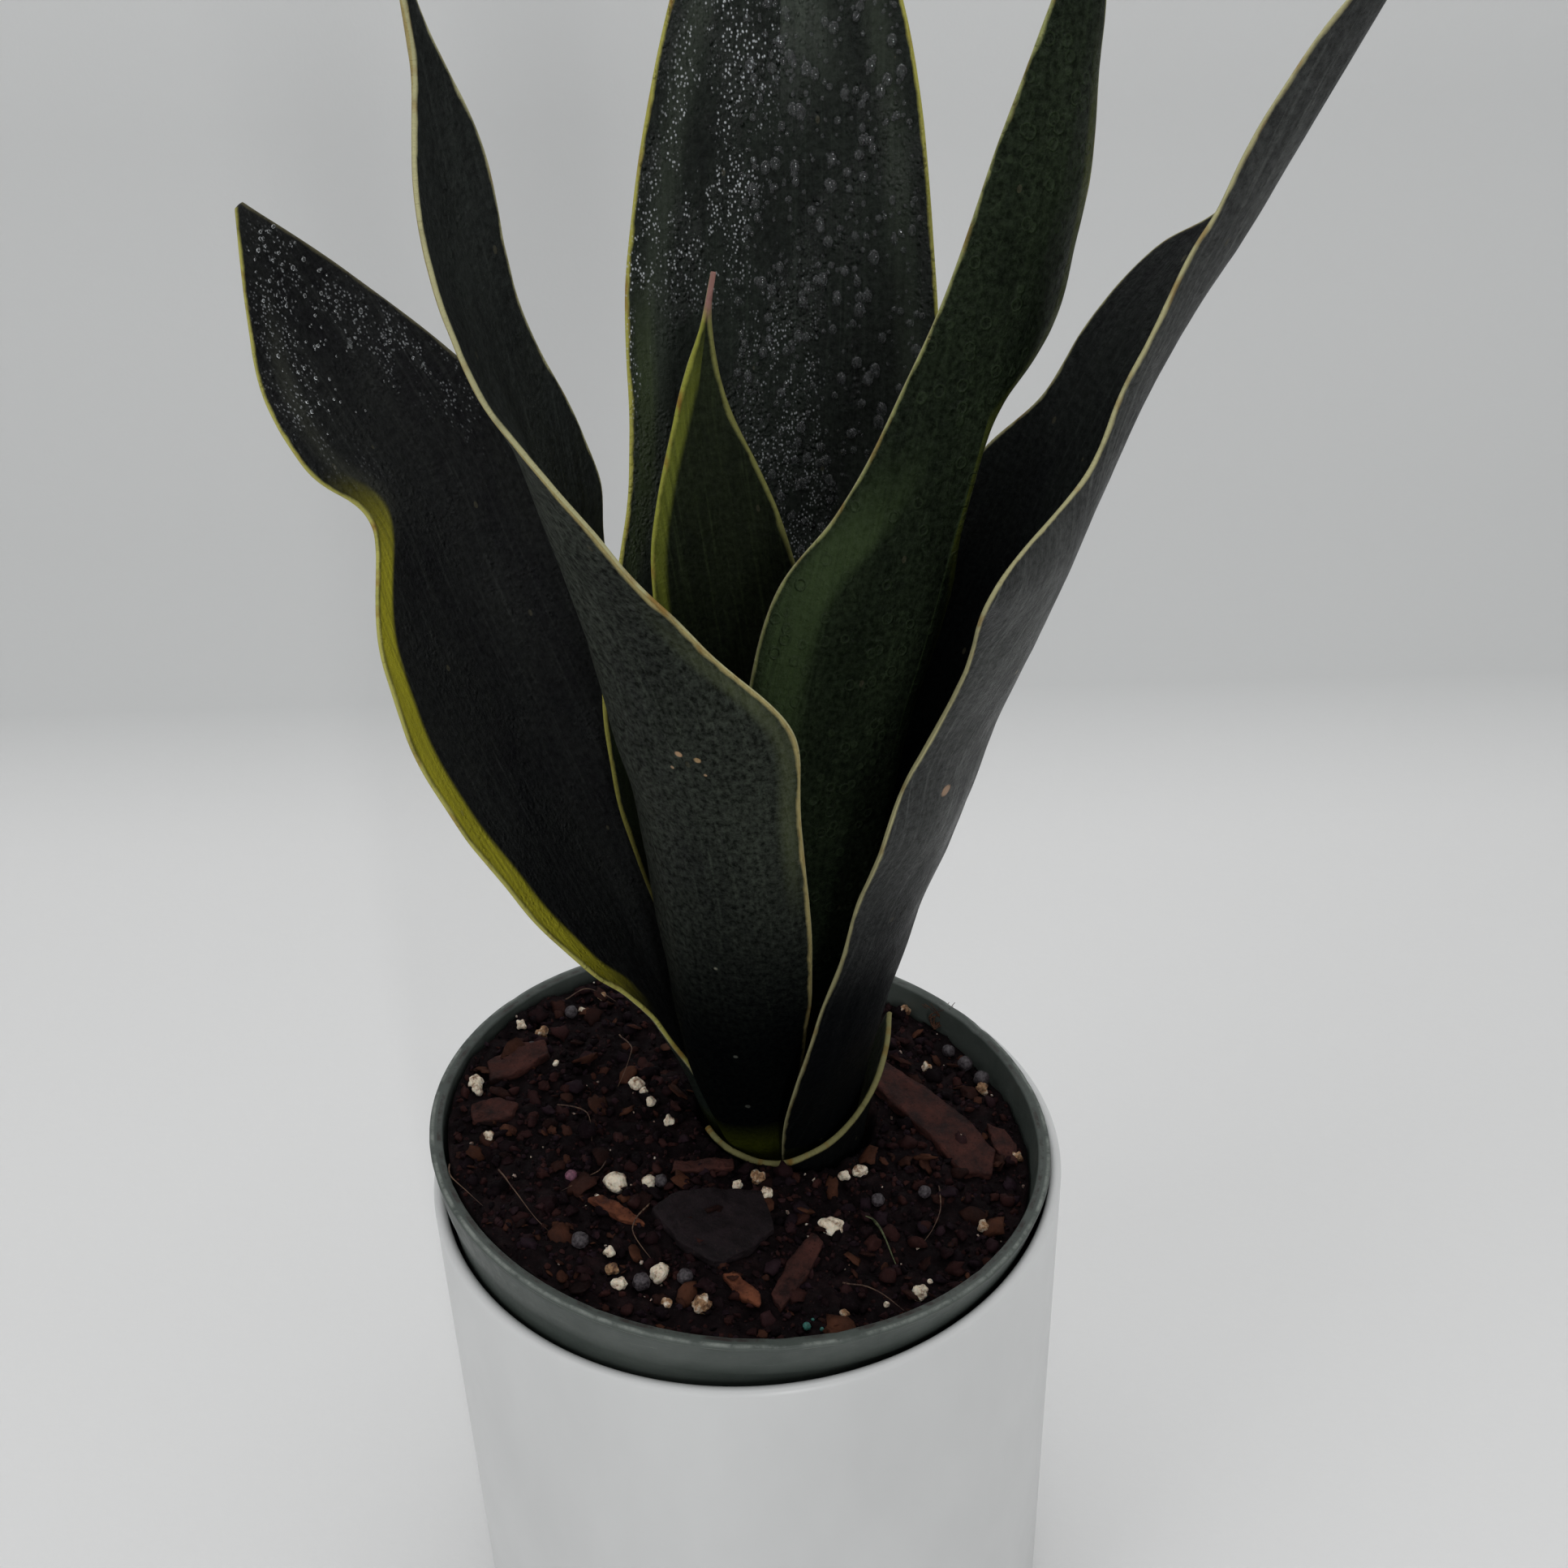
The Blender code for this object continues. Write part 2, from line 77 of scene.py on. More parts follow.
class Shader:
    """A Principled material under construction, with a short call for each kind of node."""

    def __init__(self, name: str, sockets: dict[str, float]) -> None:
        """Start a material.

        Args:
            name: The material's name.
            sockets: Plain values for the Principled shader's own sockets.
        """
        self.material = bpy.data.materials.new(name)
        self.material.use_nodes = True
        self.tree = self.material.node_tree
        self.surface = self.tree.nodes["Principled BSDF"]
        for socket, value in sockets.items():
            self.surface.inputs[socket].default_value = value

    def feed(self, socket: Socket, value: Value) -> None:
        """Link a socket to a value, or set it."""
        if isinstance(value, bpy.types.NodeSocket):
            self.tree.links.new(value, socket)
        elif isinstance(value, (int, float)):
            socket.default_value = value
        else:
            wanted = len(socket.default_value)
            socket.default_value = (*value, 1.0)[:wanted]

    def node(self, kind: str, inputs: dict, **settings: object) -> bpy.types.Node:
        """Add a node.

        Args:
            kind: The node's type, without the ShaderNode prefix.
            inputs: Values or sockets by input name or index.
            settings: Properties of the node.

        Returns:
            The new node.
        """
        made = self.tree.nodes.new("ShaderNode" + kind)
        for key, value in settings.items():
            setattr(made, key, value)
        for key, value in inputs.items():
            self.feed(made.inputs[key], value)
        return made

    def place(self) -> Socket:
        """Give the Object coordinates."""
        return self.node("TexCoord", {}).outputs["Object"]

    def attribute(self, name: str) -> Socket:
        """Give a number stored on the piece's points."""
        return self.node("Attribute", {}, attribute_name=name).outputs["Fac"]

    def scaled(self, vector: Value, scale: tuple[float, float, float]) -> Socket:
        """Stretch coordinates with a Mapping node."""
        return self.node("Mapping", {"Vector": vector, "Scale": scale}).outputs["Vector"]

    def cloud(self, vector: Value, scale: float, detail: float = 4.0, rough: float = 0.55) -> Socket:
        """Give smooth noise, about 0.3 to 0.7."""
        inputs = {"Vector": vector, "Scale": scale, "Detail": detail, "Roughness": rough}
        return self.node("TexNoise", inputs).outputs["Fac"]

    def grain(
        self, flat: Value, across: float, along: float, detail: float = 4.0, rough: float = 0.55
    ) -> Socket:
        """Give smooth noise at its own scales across and along a leaf."""
        return self.cloud(self.scaled(flat, (across, along, 1.0)), 1.0, detail, rough)

    def cells(self, vector: Value, scale: float) -> Socket:
        """Give the distance to the nearest point of a scatter."""
        return self.node("TexVoronoi", {"Vector": vector, "Scale": scale}).outputs["Distance"]

    def ramp(self, fac: Value, *stops: tuple[float, Value]) -> Socket:
        """Map a number through a ramp of greys or colours."""
        made = self.node("ValToRGB", {"Fac": fac})
        points = made.color_ramp.elements
        while len(points) < len(stops):
            points.new(1.0)
        for point, (at, value) in zip(points, stops):
            point.position = at
            grey = (value, value, value) if isinstance(value, (int, float)) else value
            point.color = (*grey, 1.0)
        return made.outputs["Color"]

    def span(self, value: Value, zero: float, one: float, smooth: bool = False) -> Socket:
        """Give how far a value has gone from where it counts as 0 to where it counts as 1."""
        kind = "SMOOTHSTEP" if smooth else "LINEAR"
        return self.node("MapRange", {"Value": value, 1: zero, 2: one}, interpolation_type=kind).outputs[0]

    def window(self, value: Value, low: float, high: float, soft: float) -> Socket:
        """Give 1 where a value lies between low and high, falling off over soft."""
        rise = self.span(value, low - soft, low + soft, smooth=True)
        return self.times(rise, self.span(value, high + soft, high - soft, smooth=True))

    def calc(self, operation: str, a: Value, b: Value, clamp: bool = False) -> Socket:
        """Combine two numbers."""
        return self.node("Math", {0: a, 1: b}, operation=operation, use_clamp=clamp).outputs[0]

    def times(self, a: Value, b: Value, clamp: bool = False) -> Socket:
        """Multiply two numbers."""
        return self.calc("MULTIPLY", a, b, clamp)

    def blend(self, fac: Value, a: Value, b: Value) -> Socket:
        """Mix two colours."""
        return self.node("Mix", {0: fac, 6: a, 7: b}, data_type="RGBA").outputs[2]

    def bump(self, height: Value, depth: float, after: Value = None) -> Socket:
        """Raise the surface by a height map of a given depth in metres."""
        inputs = {"Height": height, "Distance": depth, "Strength": 1.0}
        if after is not None:
            inputs["Normal"] = after
        return self.node("Bump", inputs).outputs["Normal"]

    def finish(self, colour: Value, rough: Value, normal: Value = None) -> Finish:
        """Connect the main sockets.

        Args:
            colour: Base colour.
            rough: Roughness.
            normal: Bumped normal, if any.

        Returns:
            The finished material.
        """
        self.feed(self.surface.inputs["Base Color"], colour)
        self.feed(self.surface.inputs["Roughness"], rough)
        if normal is not None:
            self.feed(self.surface.inputs["Normal"], normal)
        return self.material


PAINTED_SHADE = tone(3, 4, 6)
SPECK = tone(92, 88, 70)
MARGIN_STAIN = tone(142, 108, 48)
SHADED_MARGIN = tone(40, 36, 20)
BAND_END_SOFT = 14.0
GLOW_FADE = 24.0
MARGIN_FADE = 0.7
MARGIN_WANDER = 1.6
ABOVE_ALL = 2000.0
RELIEF_SHADING_CONTRAST = 0.75
LEATHER_DEPTH = 0.0016
SPRAY_STRETCH = (1.0, 0.7, 1.0)
WET_ROUGH = 0.1
WET_GLOSS = 0.32


class Half(Enum):
    """Which half of a leaf a band lies on, as the sign of the distance across."""

    LEFT = -1
    RIGHT = 1
    BOTH = 0


@dataclass(frozen=True)
class Band:
    """A coloured band along a leaf: its distance in from the margin, its heights and its strength."""

    half: Half
    start: float
    end: float
    low: float
    high: float
    colour: Colour
    strength: float
    soft: float = 1.0


@dataclass(frozen=True)
class Scar:
    """A small healed wound: distance across from the midrib, height, radius and colour."""

    across: float
    height: float
    radius: float
    colour: Colour


class Skin(NamedTuple):
    """What the finish of a leaf's side reads: places in millimetres, and the noises that its marks share."""

    s: Shader
    flat: Socket
    across: Socket
    margin: Socket
    height: Socket
    lines: Socket
    mottle: Socket

    @classmethod
    def read(cls, s: Shader) -> "Skin":
        """Read the leaf's own across, along and margin numbers.

        Args:
            s: The shader being built.

        Returns:
            The places and shared noises.
        """
        across, along, margin = (s.attribute(name) for name in ("across", "along", "margin"))
        flat = s.node("CombineXYZ", {"X": across, "Y": along}).outputs[0]
        height = s.times(s.node("SeparateXYZ", {0: s.place()}).outputs["Z"], 1 / MM)
        lines, mottle = s.grain(flat, 1.1, 0.02, 3.0, 0.6), s.grain(flat, 0.5, 0.35, 5.0, 0.7)
        return cls(s, flat, across, margin, height, lines, mottle)

    def mask_band(self, band: Band, breaks: Socket) -> Socket:
        """Give the mask of one band.

        Args:
            band: The band.
            breaks: Streaks or mottles, which break the band up.

        Returns:
            A number from 0 outside to the band's strength inside.
        """
        s = self.s
        mask = s.window(self.margin, band.start, band.end, band.soft)
        mask = s.times(mask, s.window(self.height, band.low, band.high, BAND_END_SOFT))
        if band.half is not Half.BOTH:
            side = s.calc("GREATER_THAN", s.times(self.across, float(band.half.value)), 0.0)
            mask = s.times(mask, side)
        broken = s.ramp(breaks, (0.3, 0.55), (0.6, 1.0))
        return s.times(s.times(mask, broken), band.strength, clamp=True)

    def lay_scar(self, scar: Scar, colour: Socket) -> Socket:
        """Lay one scar, with a ruffled edge, over a colour.

        Args:
            scar: The scar.
            colour: The colour under it.

        Returns:
            The colour with the scar.
        """
        s = self.s
        here = s.node("CombineXYZ", {"X": self.across, "Y": self.height}).outputs[0]
        away = s.node("VectorMath", {0: here, 1: (scar.across, scar.height, 0.0)}, operation="DISTANCE")
        ruffled = s.calc("ADD", away.outputs["Value"], s.times(self.mottle, scar.radius))
        return s.blend(s.span(ruffled, scar.radius * 1.6, scar.radius * 1.2), colour, scar.colour)


@dataclass(frozen=True)
class LeafFinish:
    """Skin of one side of a leaf."""

    name: str
    dark: Colour
    light: Colour
    margin: Colour = tone(158, 154, 108)
    margin_width: float = 0.8
    margin_shade: float = 0.7
    right_margin: Optional[Colour] = None
    tip: tuple[float, Colour] = (999.0, tone(150, 112, 104))
    streaks: float = 0.35
    pebbles: float = 0.00012
    pebble_scale: float = 0.75
    rough: tuple[float, float] = (0.34, 0.62)
    gloss: float = 0.15
    wet: float = 0.0
    leather: float = 0.4
    rings: float = 0.0
    glow: Colour = tone(88, 96, 20)
    glow_height: float = 168.0
    # Painted shade towards the leaf's foot: the height where it is full, the height where it ends, and its
    # strength.
    shade: tuple[float, float, float] = (150.0, 230.0, 0.5)
    bands: tuple[Band, ...] = ()
    # Wet bands, which also paint glints into the colour.
    wet_glint_films: tuple[Band, ...] = ()
    scars: tuple[Scar, ...] = ()

    def make(self) -> Finish:
        """Build the skin: its colours, its leathery and pebbled relief, and the water on it."""
        s = Shader(self.name, {"IOR": 1.45})
        skin = Skin.read(s)
        flat = skin.flat
        # Painted shade: the skin darkens towards the leaf's foot, deep in the rosette.
        low, high, deep = self.shade
        shade = s.times(s.span(skin.height, high, low, smooth=True), deep)
        leather = s.cloud(s.scaled(flat, (1.0, 0.75, 1.0)), 0.85, 5.0, 0.72)
        weak, strong = 1.0 - RELIEF_SHADING_CONTRAST * self.leather, 1.0 + RELIEF_SHADING_CONTRAST * self.leather
        relief = s.node("MapRange", {"Value": leather, 1: 0.38, 2: 0.62, 3: weak, 4: strong}).outputs[0]
        pale = tuple(min(1.0, c * 1.9 + 0.004) for c in self.light)
        colour = self.lay_greens(skin, relief, pale)
        colour = self.lay_marks(skin, shade, colour)
        bumps = s.bump(s.cells(flat, self.pebble_scale), self.pebbles)
        bumps = s.bump(s.cloud(flat, 2.6, 3.0), self.pebbles * 0.7, bumps)
        bumps = s.bump(leather, self.leather * LEATHER_DEPTH, bumps)
        if self.rings > 0:
            ring = s.window(s.cells(s.scaled(flat, (0.24, 0.2, 1.0)), 1.0), 0.2, 0.29, 0.035)
            colour = s.blend(s.times(ring, 0.35 * self.rings), colour, pale)
            bumps = s.bump(ring, 0.0003 * self.rings, bumps)
        bumps = s.bump(skin.lines, 0.00018, bumps)
        dull = s.grain(flat, 0.12, 0.06, 5.0, 0.65)
        rough = s.ramp(dull, (0.34, self.rough[0]), (0.66, self.rough[1]))
        lit = s.calc("SUBTRACT", 1.0, shade)
        gloss = s.times(lit, s.times(relief, self.gloss))
        if self.wet > 0:
            film = s.ramp(s.grain(flat, 0.07, 0.035, 4.0, 0.6), (0.47, 0.0), (0.56, self.wet))
            film = s.times(film, lit)
            dots = s.ramp(s.cells(flat, 0.62), (0.12, 1.0), (0.42, 0.0))
            bumps = s.bump(s.times(dots, film), 0.00045, bumps)
            colour, film = self.lay_spray(skin, colour, film)
            fine = s.ramp(s.cells(s.scaled(flat, SPRAY_STRETCH), 1.3), (0.1, 1.0), (0.5, 0.0))
            bumps = s.bump(s.times(fine, film), 0.0002, bumps)
            rough = s.blend(film, rough, (WET_ROUGH, WET_ROUGH, WET_ROUGH))
            gloss = s.calc("MAXIMUM", gloss, s.times(film, WET_GLOSS))
        s.feed(s.surface.inputs["Specular IOR Level"], gloss)
        return s.finish(colour, rough, bumps)

    def lay_greens(self, skin: Skin, relief: Socket, pale: Colour) -> Socket:
        """Lay the patchy greens, their streaks, the painted light and shade of the leathery relief, and the
        coloured bands.

        Args:
            skin: What the finish reads.
            relief: The painted light and shade of the leathery relief.
            pale: The streaks' colour.

        Returns:
            The colour so far.
        """
        s = skin.s
        patches = s.times(s.grain(skin.flat, 0.05, 0.018, 5.0, 0.6), 0.65)
        greens = s.calc("ADD", patches, s.times(skin.mottle, 0.35))
        colour = s.ramp(greens, (0.36, self.dark), (0.66, self.light))
        colour = s.blend(s.ramp(skin.lines, (0.52, 0.0), (0.75, self.streaks)), colour, pale)
        # Painted light and shade: the colour is scaled with the leathery relief, lighter on its rises and
        # darker in its hollows.
        colour = s.node("VectorMath", {0: colour, "Scale": relief}, operation="SCALE").outputs[0]
        for band in self.bands:
            colour = s.blend(skin.mask_band(band, skin.lines), colour, band.colour)
        return colour

    def lay_marks(self, skin: Skin, shade: Socket, colour: Socket) -> Socket:
        """Paint shade over the low part, then lay the yellow foot, scars, specks, margin and tip.

        Args:
            skin: What the finish reads.
            shade: How much painted shade falls at each height.
            colour: The colour so far.

        Returns:
            The colour with its marks.
        """
        s, flat = skin.s, skin.flat
        colour = s.blend(shade, colour, PAINTED_SHADE)
        foot = s.span(skin.height, self.glow_height, self.glow_height - GLOW_FADE)
        colour = s.blend(s.times(foot, 0.75), colour, self.glow)
        for scar in self.scars:
            colour = skin.lay_scar(scar, colour)
        specks = s.calc("LESS_THAN", s.cells(s.scaled(flat, (0.11, 0.06, 1.0)), 1.0), 0.05)
        colour = s.blend(s.times(specks, 0.35), colour, SPECK)
        wander = s.times(s.calc("SUBTRACT", s.grain(flat, 0.2, 0.12), 0.5), MARGIN_WANDER)
        inward = s.calc("ADD", skin.margin, wander)
        stain = s.ramp(s.grain(flat, 0.3, 0.09, 2.0), (0.55, self.margin), (0.72, MARGIN_STAIN))
        if self.right_margin:
            stain = s.blend(s.calc("GREATER_THAN", skin.across, 0.0), stain, self.right_margin)
        # Painted shade darkens the margin low down as well.
        stain = s.blend(s.times(shade, self.margin_shade), stain, SHADED_MARGIN)
        colour = s.blend(s.span(inward, self.margin_width, self.margin_width - MARGIN_FADE), colour, stain)
        start, tip = self.tip
        return s.blend(s.window(skin.height, start, ABOVE_ALL, 2.5), colour, tip)

    def lay_spray(self, skin: Skin, colour: Socket, film: Socket) -> tuple[Socket, Socket]:
        """Spray fine beads over the wet bands: a wet film, and painted glints in the colour.

        Args:
            skin: What the finish reads.
            colour: The colour so far.
            film: The mask of the water film so far.

        Returns:
            The colour and the film with the spray.
        """
        s = skin.s
        runs = s.ramp(s.grain(skin.flat, 0.15, 0.05, 4.0, 0.7), (0.47, 0.0), (0.52, 1.0))
        beads = s.ramp(s.cells(s.scaled(skin.flat, SPRAY_STRETCH), 1.5), (0.14, 1.0), (0.36, 0.0))
        for band in self.wet_glint_films:
            spray = s.times(skin.mask_band(band, skin.mottle), runs)
            film = s.calc("MAXIMUM", film, spray)
            # Painted glints: near-white dots laid into the colour where the spray lies.
            colour = s.blend(s.times(spray, beads), colour, band.colour)
        return colour, film


@dataclass(frozen=True)
class GlazeFinish:
    """White satin glaze with faint smudges."""

    white: Colour = tone(214, 215, 215)
    smudge: Colour = tone(205, 206, 206)

    def make(self) -> Finish:
        """Build the glaze."""
        s = Shader("white_glaze", {"Specular IOR Level": 0.4, "Coat Weight": 0.15, "Coat Roughness": 0.25})
        where = s.place()
        wipes = s.cloud(s.scaled(where, (1.0, 1.0, 0.45)), 16.0, 4.0, 0.6)
        specks = s.ramp(s.cells(where, 240.0), (0.0, 1.0), (0.06, 0.0))
        colour = s.ramp(wipes, (0.4, self.white), (0.7, self.smudge))
        colour = s.blend(s.times(specks, 0.25), colour, tone(190, 190, 188))
        rough = s.ramp(s.cloud(where, 34.0, 4.0), (0.35, 0.34), (0.7, 0.48))
        normal = s.bump(s.cloud(where, 60.0, 2.0), 0.00012)
        normal = s.bump(s.cloud(where, 900.0, 2.0), 0.00001, normal)
        return s.finish(colour, rough, normal)


@dataclass(frozen=True)
class GrowerFinish:
    """Dark green moulded plastic, scuffed along its rim, where a pale line also paints the rim's highlight.
    """

    green: Colour = tone(60, 67, 63)
    dusty: Colour = tone(76, 82, 78)
    scuff_and_rim_highlight: Colour = tone(132, 138, 132)

    def make(self) -> Finish:
        """Build the plastic, which reads the pot's depth and lip numbers."""
        s = Shader("grower_green", {"Specular IOR Level": 0.35})
        where = s.place()
        depth, lip = s.attribute("depth"), s.attribute("lip")
        colour = s.ramp(s.cloud(where, 40.0, 5.0, 0.65), (0.38, self.green), (0.7, self.dusty))
        worn = s.cloud(where, 130.0, 5.0, 0.75)
        # Partly wear, partly a painted highlight: a pale broken line along the outer part of the rim's top.
        edge = s.times(s.window(lip, 0.55, 1.4, 0.3), s.ramp(worn, (0.4, 0.0), (0.62, 0.85)))
        colour = s.blend(edge, colour, self.scuff_and_rim_highlight)
        rubs = s.ramp(s.cloud(s.scaled(where, (1, 1, 9)), 70.0, 5.0, 0.8), (0.6, 0.0), (0.75, 0.5))
        colour = s.blend(s.times(s.window(depth, 1.0, 7.0, 3.0), rubs), colour, self.scuff_and_rim_highlight)
        soil = s.times(s.window(lip, -1.2, -0.2, 0.2), s.ramp(worn, (0.45, 0.0), (0.6, 0.8)))
        colour = s.blend(soil, colour, tone(38, 26, 24))
        rough = s.ramp(worn, (0.3, 0.36), (0.7, 0.6))
        normal = s.bump(s.cloud(s.scaled(where, (1, 1, 5)), 500.0, 3.0), 0.00004)
        normal = s.bump(s.cloud(where, 90.0, 3.0), 0.00025, normal)
        return s.finish(colour, rough, normal)


@dataclass(frozen=True)
class CrumbFinish:
    """Rough organic matter whose colour runs through a ramp by each crumb's own number."""

    name: str
    colours: tuple[Colour, ...]
    rough: tuple[float, float] = (0.6, 0.95)
    grain: float = 700.0
    depth: float = 0.0003
    per_crumb: bool = True

    def make(self) -> Finish:
        """Build the material."""
        s = Shader(self.name, {"Specular IOR Level": 0.06})
        where = s.place()
        blotch = s.cloud(where, 160.0, 5.0, 0.7)
        number = s.attribute("tint") if self.per_crumb else blotch
        spread = 1.0 / (len(self.colours) - 1)
        low, high = (0.0, 1.0) if self.per_crumb else (0.32, 0.7)
        stops = [(low + (high - low) * i * spread, c) for i, c in enumerate(self.colours)]
        colour = s.ramp(number, *stops)
        colour = s.blend(s.ramp(blotch, (0.35, 0.55), (0.65, 0.0)), colour, tone(14, 8, 9))
        dust = s.ramp(s.cloud(where, 1500.0, 3.0, 0.7), (0.6, 0.0), (0.78, 0.16))
        colour = s.blend(dust, colour, tone(96, 78, 78))
        rough = s.ramp(s.cloud(where, 420.0, 3.0), (0.35, self.rough[0]), (0.65, self.rough[1]))
        normal = s.bump(s.cloud(where, self.grain, 5.0, 0.7), self.depth)
        return s.finish(colour, rough, normal)


@dataclass(frozen=True)
class BarkFinish:
    """Flaky bark with fine layers along its surface."""

    name: str
    dark: Colour
    light: Colour

    def make(self) -> Finish:
        """Build the bark."""
        s = Shader(self.name, {"Specular IOR Level": 0.12})
        where = s.place()
        flakes = s.cloud(s.scaled(where, (1.0, 1.0, 3.0)), 140.0, 6.0, 0.7)
        colour = s.ramp(flakes, (0.38, self.dark), (0.64, self.light))
        pores = s.ramp(s.cells(where, 800.0), (0.05, 0.6), (0.3, 0.0))
        colour = s.blend(pores, colour, tone(16, 9, 9))
        dust = s.ramp(s.cloud(where, 1300.0, 3.0, 0.75), (0.6, 0.0), (0.76, 0.15))
        colour = s.blend(dust, colour, tone(116, 94, 84))
        normal = s.bump(flakes, 0.0007)
        normal = s.bump(s.cloud(where, 1100.0, 4.0, 0.7), 0.0002, normal)
        return s.finish(colour, s.ramp(flakes, (0.35, 0.6), (0.65, 0.9)), normal)


@dataclass(frozen=True)
class PerliteFinish:
    """Cream, porous expanded grains, dirtied in their hollows."""

    name: str = "perlite_cream"
    cream: Colour = tone(222, 208, 186)
    dirt: Colour = tone(128, 98, 76)

    def make(self) -> Finish:
        """Build the perlite."""
        s = Shader(self.name, {"Specular IOR Level": 0.3, "Subsurface Weight": 0.15})
        s.surface.inputs["Subsurface Scale"].default_value = 0.0006
        where = s.place()
        blotch = s.cloud(where, 420.0, 4.0, 0.7)
        colour = s.ramp(blotch, (0.36, self.dirt), (0.5, self.cream), (0.75, tone(238, 230, 214)))
        normal = s.bump(s.cells(where, 1500.0), 0.0002)
        normal = s.bump(s.cloud(where, 900.0, 3.0), 0.0003, normal)
        return s.finish(colour, s.ramp(blotch, (0.3, 0.7), (0.7, 0.95)), normal)


@dataclass(frozen=True)
class PrillFinish:
    """Thin resin shell of a fertiliser prill, with a speckle."""

    name: str
    shell: Colour
    speck: Colour

    def make(self) -> Finish:
        """Build the shell."""
        s = Shader(self.name, {"Specular IOR Level": 0.4})
        where = s.place()
        spots = s.cloud(where, 1400.0, 4.0, 0.7)
        colour = s.ramp(spots, (0.42, self.speck), (0.58, self.shell))
        return s.finish(colour, s.ramp(spots, (0.3, 0.4), (0.7, 0.7)), s.bump(spots, 0.00012))


@dataclass(frozen=True)
class WaterFinish:
    """Clear drops of water."""

    def make(self) -> Finish:
        """Build the water."""
        s = Shader("water_drop", {"Transmission Weight": 0.97, "IOR": 1.33})
        ripple = s.cloud(s.place(), 600.0, 1.0)
        return s.finish((0.86, 0.89, 0.9), s.ramp(ripple, (0.3, 0.02), (0.7, 0.05)), s.bump(ripple, 0.00003))


@dataclass(frozen=True)
class FibreFinish:
    """Dry root fibre or a soft green sprig, shaded along its length."""

    name: str
    dark: Colour
    light: Colour

    def make(self) -> Finish:
        """Build the fibre."""
        s = Shader(self.name, {"Specular IOR Level": 0.3})
        tint = s.cloud(s.place(), 260.0, 3.0)
        colour = s.ramp(tint, (0.38, self.dark), (0.62, self.light))
        return s.finish(colour, s.ramp(tint, (0.3, 0.55), (0.7, 0.85)), s.bump(tint, 0.0001))


@dataclass(frozen=True)
class StudioFinish:
    """Matt pale paper of the studio sweep."""

    floor: Colour = tone(233, 233, 233)
    wall: Colour = tone(203, 204, 204)
    top: Colour = tone(224, 225, 225)

    def make(self) -> Finish:
        """Build the paper, with painted shade on the wall: darker than the floor, most just above it and
        less towards the top.
        """
        s = Shader("studio_paper", {"Specular IOR Level": 0.1})
        where = s.place()
        height = s.node("SeparateXYZ", {0: where}).outputs["Z"]
        # Painted shade: the paper darkens where the wall rises from the floor and lightens again higher up,
        # evening out how the lamps light it.
        colour = s.blend(s.span(height, 0.0, 0.035), self.floor, self.wall)
        colour = s.blend(s.span(height, 0.1, 0.6), colour, self.top)
        return s.finish(colour, 0.9, s.bump(s.cloud(where, 300.0, 3.0), 0.0001))


# ------------------------------------------------------------- mesh helpers


def add_piece(name: str, bm: Mesh, *finishes: Finish, smooth: bool = True) -> Piece:
    """Turn a bmesh into an object at the origin.

    Args:
        name: The object's name.
        bm: The mesh, in metres; it is freed.
        finishes: Materials for its slots.
        smooth: Whether its faces are shaded smooth.

    Returns:
        The new object.
    """
    mesh = bpy.data.meshes.new(name)
    bm.to_mesh(mesh)
    bm.free()
    for finish in finishes:
        mesh.materials.append(finish)
    if smooth:
        mesh.shade_smooth()
    made = bpy.data.objects.new(name, mesh)
    bpy.context.scene.collection.objects.link(made)
    return made


def thicken(piece: Piece, thickness: float, group: str = "") -> None:
    """Give a surface its thickness, with its second finish on the far side, and soften it.

    Args:
        piece: The surface.
        thickness: Its thickness in millimetres.
        group: The vertex group that thins it.
    """
    wall = piece.modifiers.new("wall", "SOLIDIFY")
    wall.thickness, wall.offset, wall.vertex_group, wall.material_offset = thickness * MM, 0.0, group, 1
    soften = piece.modifiers.new("soften", "SUBSURF")
    soften.levels = soften.render_levels = 1


def settle(piece: Piece, slot: str, *nodes: str) -> None:
    """Make a piece ride on the plant and hide the solids it stands for.

    Args:
        piece: The piece.
        slot: The record's material slot; not used.
        nodes: The CAD nodes it replaces.
    """
    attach(piece, BODY)
    if nodes:
        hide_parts(*nodes)
    LOG.info("%s: %d faces, for %s", piece.name, len(piece.data.polygons), ", ".join(nodes) or "looks only")


def arc(centre: Point, radius: float, start: float, end: float, count: int) -> list[Point]:
    """List points along an arc.

    Args:
        centre: Its centre, as radius and height.
        radius: Its radius.
        start: First angle in degrees.
        end: Last angle in degrees.
        count: Number of steps.

    Returns:
        The points, as radius and height.
    """
    angles = [math.radians(start + (end - start) * i / count) for i in range(count + 1)]
    return [(centre[0] + radius * math.cos(a), centre[1] + radius * math.sin(a)) for a in angles]


def turn(profile: Sequence[Point], steps: int) -> Mesh:
    """Turn a closed profile, which starts and ends on the axis, about Z.

    Args:
        profile: Points as radius and height in millimetres.
        steps: Steps of the full turn.

    Returns:
        The turned shell, facing outwards.
    """
    bm = bmesh.new()
    verts = [bm.verts.new((r * MM, 0.0, z * MM)) for r, z in profile]
    edges = [bm.edges.new(pair) for pair in zip(verts, verts[1:])]
    whole = {"cent": (0, 0, 0), "axis": (0, 0, 1), "angle": math.tau, "steps": steps, "use_merge": True}
    bmesh.ops.spin(bm, geom=verts + edges, **whole)
    bmesh.ops.remove_doubles(bm, verts=bm.verts[:], dist=0.000002)
    bmesh.ops.recalc_face_normals(bm, faces=bm.faces[:])
    return bm


